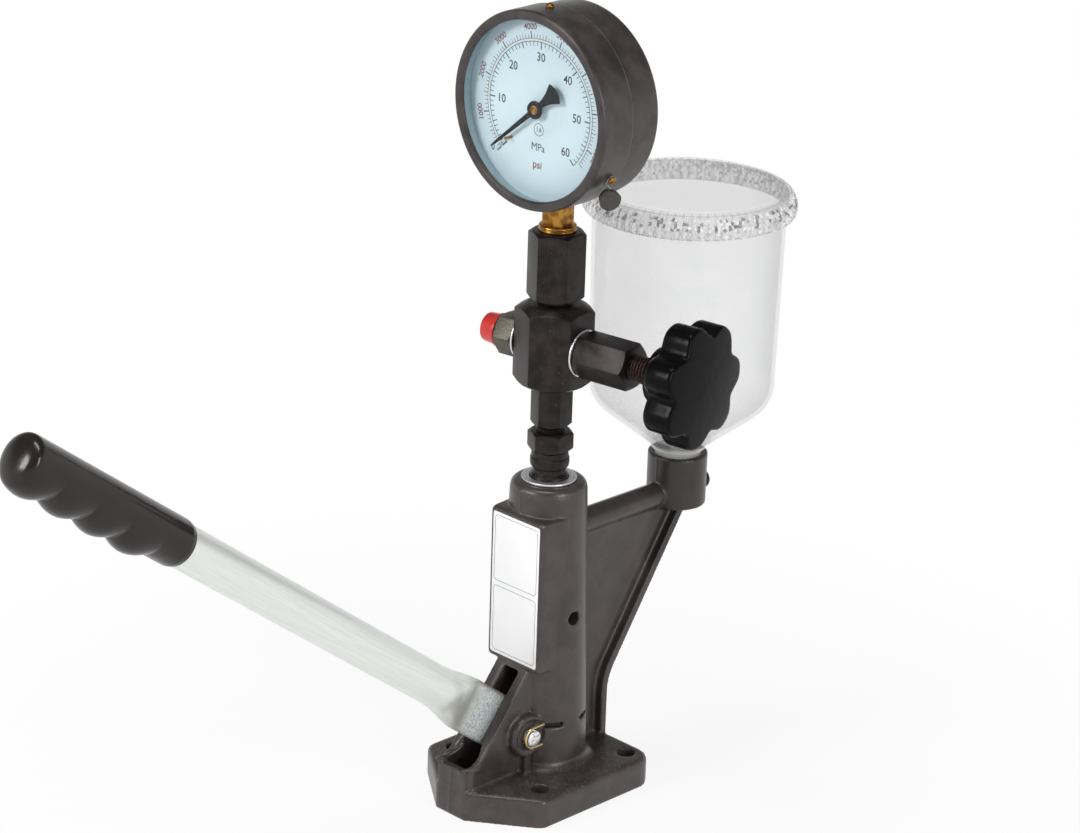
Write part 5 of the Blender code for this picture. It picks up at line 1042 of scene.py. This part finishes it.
ribs = 78
around = ribs * 6
rows = []
for step in range(around + 1):
    turn = 2 * pi * (step % around) / around
    tooth = (0.5 + 0.5 * cos(ribs * turn)) ** 0.5
    upper = 0.5 + 0.5 * cos(ribs * turn + pi)
    section = [(0, 0.3113), (0.0300, 0.3113), (0.0440, 0.3113), (0.0480, 0.3112), (0.0486, 0.3108),
               (0.0500 - 0.0004 * upper, 0.3103), (0.0526 - 0.0006 * upper, 0.3096),
               (0.0546 - 0.0007 * upper, 0.3074), (0.0551 - 0.0003 * upper, 0.3058),
               (0.0548, 0.3050), (0.0553 + 0.0002 * tooth, 0.3045), (0.0551 + 0.0011 * tooth, 0.3038),
               (0.0549 + 0.0013 * tooth, 0.3026), (0.0548 + 0.0014 * tooth, 0.3000),
               (0.0548 + 0.0012 * tooth, 0.2984), (0.0545 + 0.0008 * tooth, 0.2977), (0.0535, 0.2975),
               (0.0520, 0.2975), (0.0520, 0.3060), (0.0514, 0.3092), (0.0480, 0.3093), (0.0300, 0.3093),
               (0, 0.3093)]
    rows.append([(radius * cos(turn), radius * sin(turn), z) for radius, z in section])
lid = skinned("ribbed_clear_lid", rows)
lid_plastic = Finish("clear_lid_plastic", Specular_IOR_Level=0.9)
edge_on = lid_plastic.edge_on(0.45, 0.1)
centred = lid_plastic.mapped(lid_plastic.place, move=(0, -reservoir_y, 0))
from_axis = lid_plastic.length(lid_plastic.mapped(centred, (1, 1, 0)))
rim_only = lid_plastic.step(from_axis, 0.0484, 0.0496)
spark = lid_plastic.noise(0.0016, 4, None, 0.65)
bearing = lid_plastic.node("Math", {"operation": "ARCTAN2"},
                           {0: lid_plastic.axis(centred, "Y"), 1: lid_plastic.axis(centred, "X")})
rib = bearing * (ribs / (2 * pi))
level = lid_plastic.axis(centred, "Z") - 0.2975
grid = lid_plastic.node("CombineXYZ", None, {"X": rib * 3, "Y": level * 620})
cell = lid_plastic.node("VectorMath", {"operation": "FLOOR"}, {0: grid})
chance = lid_plastic.node("TexWhiteNoise", {"noise_dimensions": "2D"}, {"Vector": cell})
chance = chance * 0.75 + spark * 0.35 - 0.07
# Painted light on the ribbed rim: dark flecks are painted shade, white flecks are painted glints, and the
# gaps between the ribs are painted darker as shade.
upper_band = lid_plastic.step(level, 0.0040, 0.0060)
ribbed = lid_plastic.step(from_axis, 0.0526, 0.0538)
dark_fleck = lid_plastic.step(chance, 0.66, 0.72) * ribbed * (0.35 + 0.65 * upper_band)
white_fleck = (1 - lid_plastic.step(chance, 0.26, 0.34)) * ribbed
gap = lid_plastic.node("Math", {"operation": "PINGPONG"}, {0: rib, 1: 0.5})
groove = (1 - lid_plastic.step(gap, 0.04, 0.16)) * rim_only
colour = lid_plastic.mix(edge_on, (0.84, 0.84, 0.84), (0.62, 0.62, 0.62))
colour = lid_plastic.mix(groove * 0.5, colour, (0.42, 0.42, 0.42))
colour = lid_plastic.mix(dark_fleck, colour, (0.035, 0.035, 0.032))
lid_plastic.set("Base Color", lid_plastic.mix(white_fleck, colour, (0.97, 0.97, 0.96)))
veil = 0.08 + 0.16 * edge_on + 0.14 * rim_only + 0.14 * groove
lid_plastic.set("Alpha", veil + 0.42 * dark_fleck + 0.5 * white_fleck)
lid_plastic.set("Roughness", 0.06 + 0.08 * spark)
lid_plastic.bump(spark, 0.0004)
fitted(settled(lid, reservoir_frame), lid_plastic, "clear_plastic", "reservoir_lid", body="lid_group",
       angle=28)


# Gallery plug: a blackened socket screw that closes the drilled fuel passage in the arm.
# It sits in the back of the cup boss.

plug = spun("socket_plug", [
    (0, 0.1167, 0), (0.0028, 0.1167, 0), (0.0028, 0.1190, 0.0002), (0.0047, 0.1190, 0.0006),
    (0.00525, 0.1180, 0.0003), (0.00525, 0.1136, 0.0001), (0, 0.1136, 0)], 48)
settled(plug, standing(0, 0, gallery_height, -pi / 2, 0, 0))
fitted(plug, blackened, "black_oxide_steel", "gallery_plug")


# Lever: a steel tube, flattened cold at its foot and zinc plated with a faint green cast.
# The flattened end is rough and mottled where the plating bath caught the crushed metal.

lever_slope = radians(36.87)
lever_frame = standing(0, pivot_y, pivot_z, -lever_slope, 0, 0)
tube_radius = 0.0110
bar_half_height, bar_centre = 0.01435, -0.00075


def oval(along, centre, half_height, half_width, power, points=64):
    """A ring across the lever, from round (power 2) to a flat bar (power 6)."""
    ring = []
    for step in range(points + 1):
        turn = 2 * pi * (step % points) / points
        x = abs(cos(turn)) ** (2 / power) * half_width * (1 if cos(turn) >= 0 else -1)
        z = abs(sin(turn)) ** (2 / power) * half_height * (1 if sin(turn) >= 0 else -1)
        ring.append((x, -along, centre + z))
    return ring


def eased(part):
    return part * part * (3 - 2 * part)


rows = [oval(0.0040, bar_centre, 0.0138, 0.0044, 6), oval(0.0044, bar_centre, 0.01425, 0.0049, 6)]
for index in range(7):
    half_width = 0.0050 + 0.00012 * sin(index * 2.1)
    rows.append(oval(0.008 + 0.0045 * index, bar_centre, bar_half_height, half_width, 6))
for index in range(1, 17):
    part = index / 16
    dent = 0.0005 * sin(pi * min(1, part * 3.2)) if part < 0.31 else 0
    half_height = bar_half_height + (tube_radius - bar_half_height) * eased(part) + dent * 0.4
    half_width = 0.0050 + 0.0060 * eased(min(1, part * 1.12)) - dent
    power = 6 - 4 * eased(min(1, part * 1.5))
    rows.append(oval(0.0355 + 0.0345 * part, bar_centre * (1 - part), half_height, half_width, power))
rows += [oval(0.0705 + 0.0195 * index, 0, tube_radius, tube_radius, 2) for index in range(17)]
tube = settled(skinned("flattened_tube", rows), lever_frame)
zinc = Finish("zinc_plated_tube", Metallic=0.6, Specular_IOR_Level=0.5)
on_lever = {"Vector": zinc.place, "Rotation": (-lever_slope, 0, 0), "Location": (0, pivot_y, pivot_z)}
along_axis = zinc.node("Mapping", {"vector_type": "TEXTURE"}, on_lever)
distance = zinc.axis(along_axis, "Y") * -1
height = zinc.axis(along_axis, "Z")
flat_end = 1 - zinc.step(distance, 0.034, 0.046)
streaks = zinc.noise(0.0012, 3, zinc.mapped(along_axis, (1, 0.04, 1)))
mottle = zinc.noise(0.0013, 5, None, 0.7)
cloudy = zinc.noise(0.02, 4)
colour = zinc.mix(streaks, (0.66, 0.69, 0.66), (0.90, 0.92, 0.88))
colour = zinc.mix(cloudy * 0.3, colour, (0.78, 0.82, 0.74))
patch = zinc.mix(zinc.step(mottle, 0.34, 0.62), (0.33, 0.37, 0.38), (0.72, 0.76, 0.75))
colour = zinc.mix(flat_end, colour, patch)
# Painted reflection: a dark olive cloud is painted round the neck, where the tube is pressed flat, for the
# dark reflections there.
neck = zinc.step(distance, 0.030, 0.042) * (1 - zinc.step(distance, 0.048, 0.066))
colour = zinc.mix(neck * zinc.step(cloudy, 0.35, 0.6) * 0.55, colour, (0.36, 0.37, 0.30))
top_edge = flat_end * zinc.step(height, 0.0105, 0.0132)
zinc.set("Base Color", zinc.mix(top_edge * 0.7, colour, (0.20, 0.15, 0.10)))
zinc.set("Roughness", 0.30 + 0.16 * streaks + 0.22 * flat_end * mottle)
zinc.bump(streaks * 0.12 + mottle * flat_end * 1.2 + cloudy * 0.5, 0.00016)
fitted(tube, zinc, "zinc_plate", "lever", body="lever_group", angle=40)

# The lever's inner arm, under the tappet, is the solid's own shape, cut off inside the tube.
arm = copy_of_node("lever", "lever_foot")
edit(arm)
bpy.ops.mesh.bisect(plane_co=lever_frame @ Vector((0, -0.006, 0)), clear_outer=True, use_fill=True,
                    plane_no=lever_frame.to_3x3() @ Vector((0, -1, 0)))
done()
fitted(arm, oiled, "zinc_plate", body="lever_group")


# Grip: a glossy black-brown plastic sleeve pushed over the tube, with four finger ridges.
# Its end is a low dome, and its mouth a short plain collar.

grip_mouth, grip_end, first_ridge, ridge_pitch = 0.2752, 0.3892, 0.3058, 0.0236
dome = 0.0062
turns = [2 * pi * (step % 72) / 72 for step in range(73)]
rows = [[(0.0112 * cos(turn), -grip_mouth - 0.0004, 0.0112 * sin(turn)) for turn in turns]]
for index in range(151):
    along = grip_mouth + (grip_end - grip_mouth) * index / 150
    radius = 0.0117 + 0.0006 * eased(min(1, (along - grip_mouth) / 0.0030))
    fade = sqrt(max(0, 1 - max(0, (along - grip_end + dome) / dome) ** 2.7))
    place = (along - first_ridge) / ridge_pitch
    ridge = 0.0040 * abs(cos(pi * place)) ** 0.9 if -0.5 < place < 3.5 else 0
    reaches = [(radius + ridge * max(0, -sin(turn)) ** 1.5) * fade for turn in turns]
    rows.append([(reach * cos(turn), -along, reach * sin(turn)) for reach, turn in zip(reaches, turns)])
sleeve = settled(skinned("plastic_grip", rows), lever_frame)
gloss = clouded("grip_plastic", 0.016, 2, (0.0105, 0.0070, 0.0068), (0.020, 0.0135, 0.0125), 0.17, 0.12,
                Specular_IOR_Level=0.3, Coat_Roughness=0.06, Coat_IOR=1.3)
gloss.set("Coat Weight", 0.15 + 0.2 * gloss.clouds)
gloss.bump(gloss.clouds + gloss.noise(0.004, 2) * 0.25, 0.00022)
fitted(sleeve, gloss, "dark_grip_plastic", "grip", body="lever_group", angle=60)


# Pivot pin: a bright zinc-plated pin through both bosses, slotted and grooved at its ends.
# A yellow-zinc wire clip snaps into each groove.

pin_line = [(0, 0.0208), (0.0034, 0.0208), (0.0044, 0.0202), (0.0044, 0.0197), (0.0036, 0.0196),
            (0.0036, 0.0178), (0.0044, 0.0177)]
corners = [(radius, z, 0) for radius, z in pin_line] + [(radius, -z, 0) for radius, z in reversed(pin_line)]
pin = spun("slotted_pin", corners, 48)
for end in (0.0208, -0.0208):
    for turn in (0.5, 0.5 + pi / 2):
        carved(pin, box((0.012, 0.0010, 0.0012), 0, 0, end, 0, 0, turn))
softened(pin, 0.00015, 35, clamp=False)
pin_zinc = clouded("bright_pin_zinc", 0.0012, 4, (0.66, 0.66, 0.65), (0.92, 0.92, 0.91), 0.2, 0.22, 0.00008,
                   Metallic=0.75)
fitted(settled(pin, pivot_frame), pin_zinc, "bright_steel", "pivot_pin")

yellow = clouded("yellow_zinc_wire", 0.0015, 3, (0.50, 0.34, 0.12), (0.85, 0.68, 0.38), 0.2, 0.15,
                 Metallic=0.85)
for number, groove in ((1, -0.0187), (2, 0.0187)):
    turns = [pi / 2 + pi * step / 14 for step in range(15)]
    line = [(0.0078, 0.0056)] + [(0.0049 * cos(turn), 0.0056 * sin(turn)) for turn in turns]
    line.append((0.0070, -0.0056))
    clip = rod("wire_clip_%d" % number, [(-z, y, groove) for y, z in line], 0.00072, 12)
    fitted(settled(clip, pivot_frame), yellow, "yellow_zinc_plate", "pin_clip_%d" % number, angle=60)


# Studio: a pale floor and sky, a square key lamp in front, a tall lamp on the right and a long one above.
# The camera stands where the photograph was taken, a little above the tester.

only()
bpy.ops.mesh.primitive_grid_add(x_subdivisions=8, y_subdivisions=8, size=30, location=(0, 0, -0.0002))
ground = settled(bpy.context.object)
ground.name = "studio_floor"
sheet = Finish("floor_sheet", Specular_IOR_Level=0.0)
sheet.set("Base Color", sheet.mix(sheet.noise(0.4, 2), (0.88, 0.88, 0.88), (0.91, 0.91, 0.91)))
sheet.set("Roughness", 0.8 + 0.1 * sheet.noise(0.05, 2))


def seen(shading):
    """1 for what the camera sees directly, in metal or through glass."""
    total = shading.node("LightPath", output="Is Camera Ray")
    for name in ("Is Glossy Ray", "Is Transmission Ray"):
        total = total + shading.node("LightPath", output=name)
    return shading.step(total, 0, 1)


share = (0.88 + 0.12 * sheet.step(sheet.length(sheet.place), 0.10, 0.45)) * seen(sheet)
glow = sheet.node("Emission", None, {"Color": (1.0, 1.0, 1.0), "Strength": 1.0})
lit = Value(sheet, sheet.shader.outputs[0])
blend = sheet.node("MixShader", None, {0: share, 1: lit, 2: glow})
sheet.feed(sheet.tree.nodes["Material Output"].inputs["Surface"], blend)
ground.data.materials.append(sheet.made)

world = bpy.data.worlds.new("studio_world")
bpy.context.scene.world = world
world.use_nodes = True
air = Shading(world.node_tree)
overhead = air.step(air.axis(air.node("TexCoord", output="Generated"), "Z"), 0.10, 0.45)
walls = air.mix(overhead, (1.0, 1.0, 1.0), (0.16, 0.16, 0.17))
dim = air.node("Background", None, {"Color": walls, "Strength": 0.62})
full = air.node("Background", None, {"Color": walls, "Strength": 1.0})
sky = air.node("MixShader", None, {0: seen(air), 1: dim, 2: full})
air.feed(air.tree.nodes["World Output"].inputs["Surface"], sky)


def lamp(name, place, aim, size, power):
    only()
    bpy.ops.object.light_add(type="AREA", location=place)
    made = bpy.context.object
    made.name = name
    made.data.shape = "RECTANGLE"
    made.data.size, made.data.size_y = size
    made.data.energy = power
    made.rotation_euler = (Vector(place) - Vector(aim)).to_track_quat("Z", "Y").to_euler()


lamp("key_softbox", (-0.5, -1.9, 1.25), (0, 0, 0.2), (0.7, 0.7), 25)
lamp("right_softbox", (1.9, -0.15, 0.85), (0, 0, 0.2), (0.35, 1.0), 17)
lamp("top_strip", (0.1, -0.4, 2.0), (0, -0.1, 0.2), (1.2, 0.25), 14)

heading, tilt, roll = radians(44.78), radians(20.99), radians(-1.90)
back = Vector((sin(heading) * cos(tilt), -cos(heading) * cos(tilt), sin(tilt)))
level = Vector((cos(heading), sin(heading), 0))
upright = level.cross(-back)
across = cos(roll) * level - sin(roll) * upright
above = sin(roll) * level + cos(roll) * upright
only()
bpy.ops.object.camera_add(location=(1.16656, -1.18365, 0.84305))
camera = bpy.context.object
camera.rotation_euler = Matrix((across, above, back)).transposed().to_euler()
camera.data.sensor_width = 36
camera.data.lens = 115.95
bpy.context.scene.camera = camera
bpy.context.scene.view_settings.view_transform = "Standard"

only()
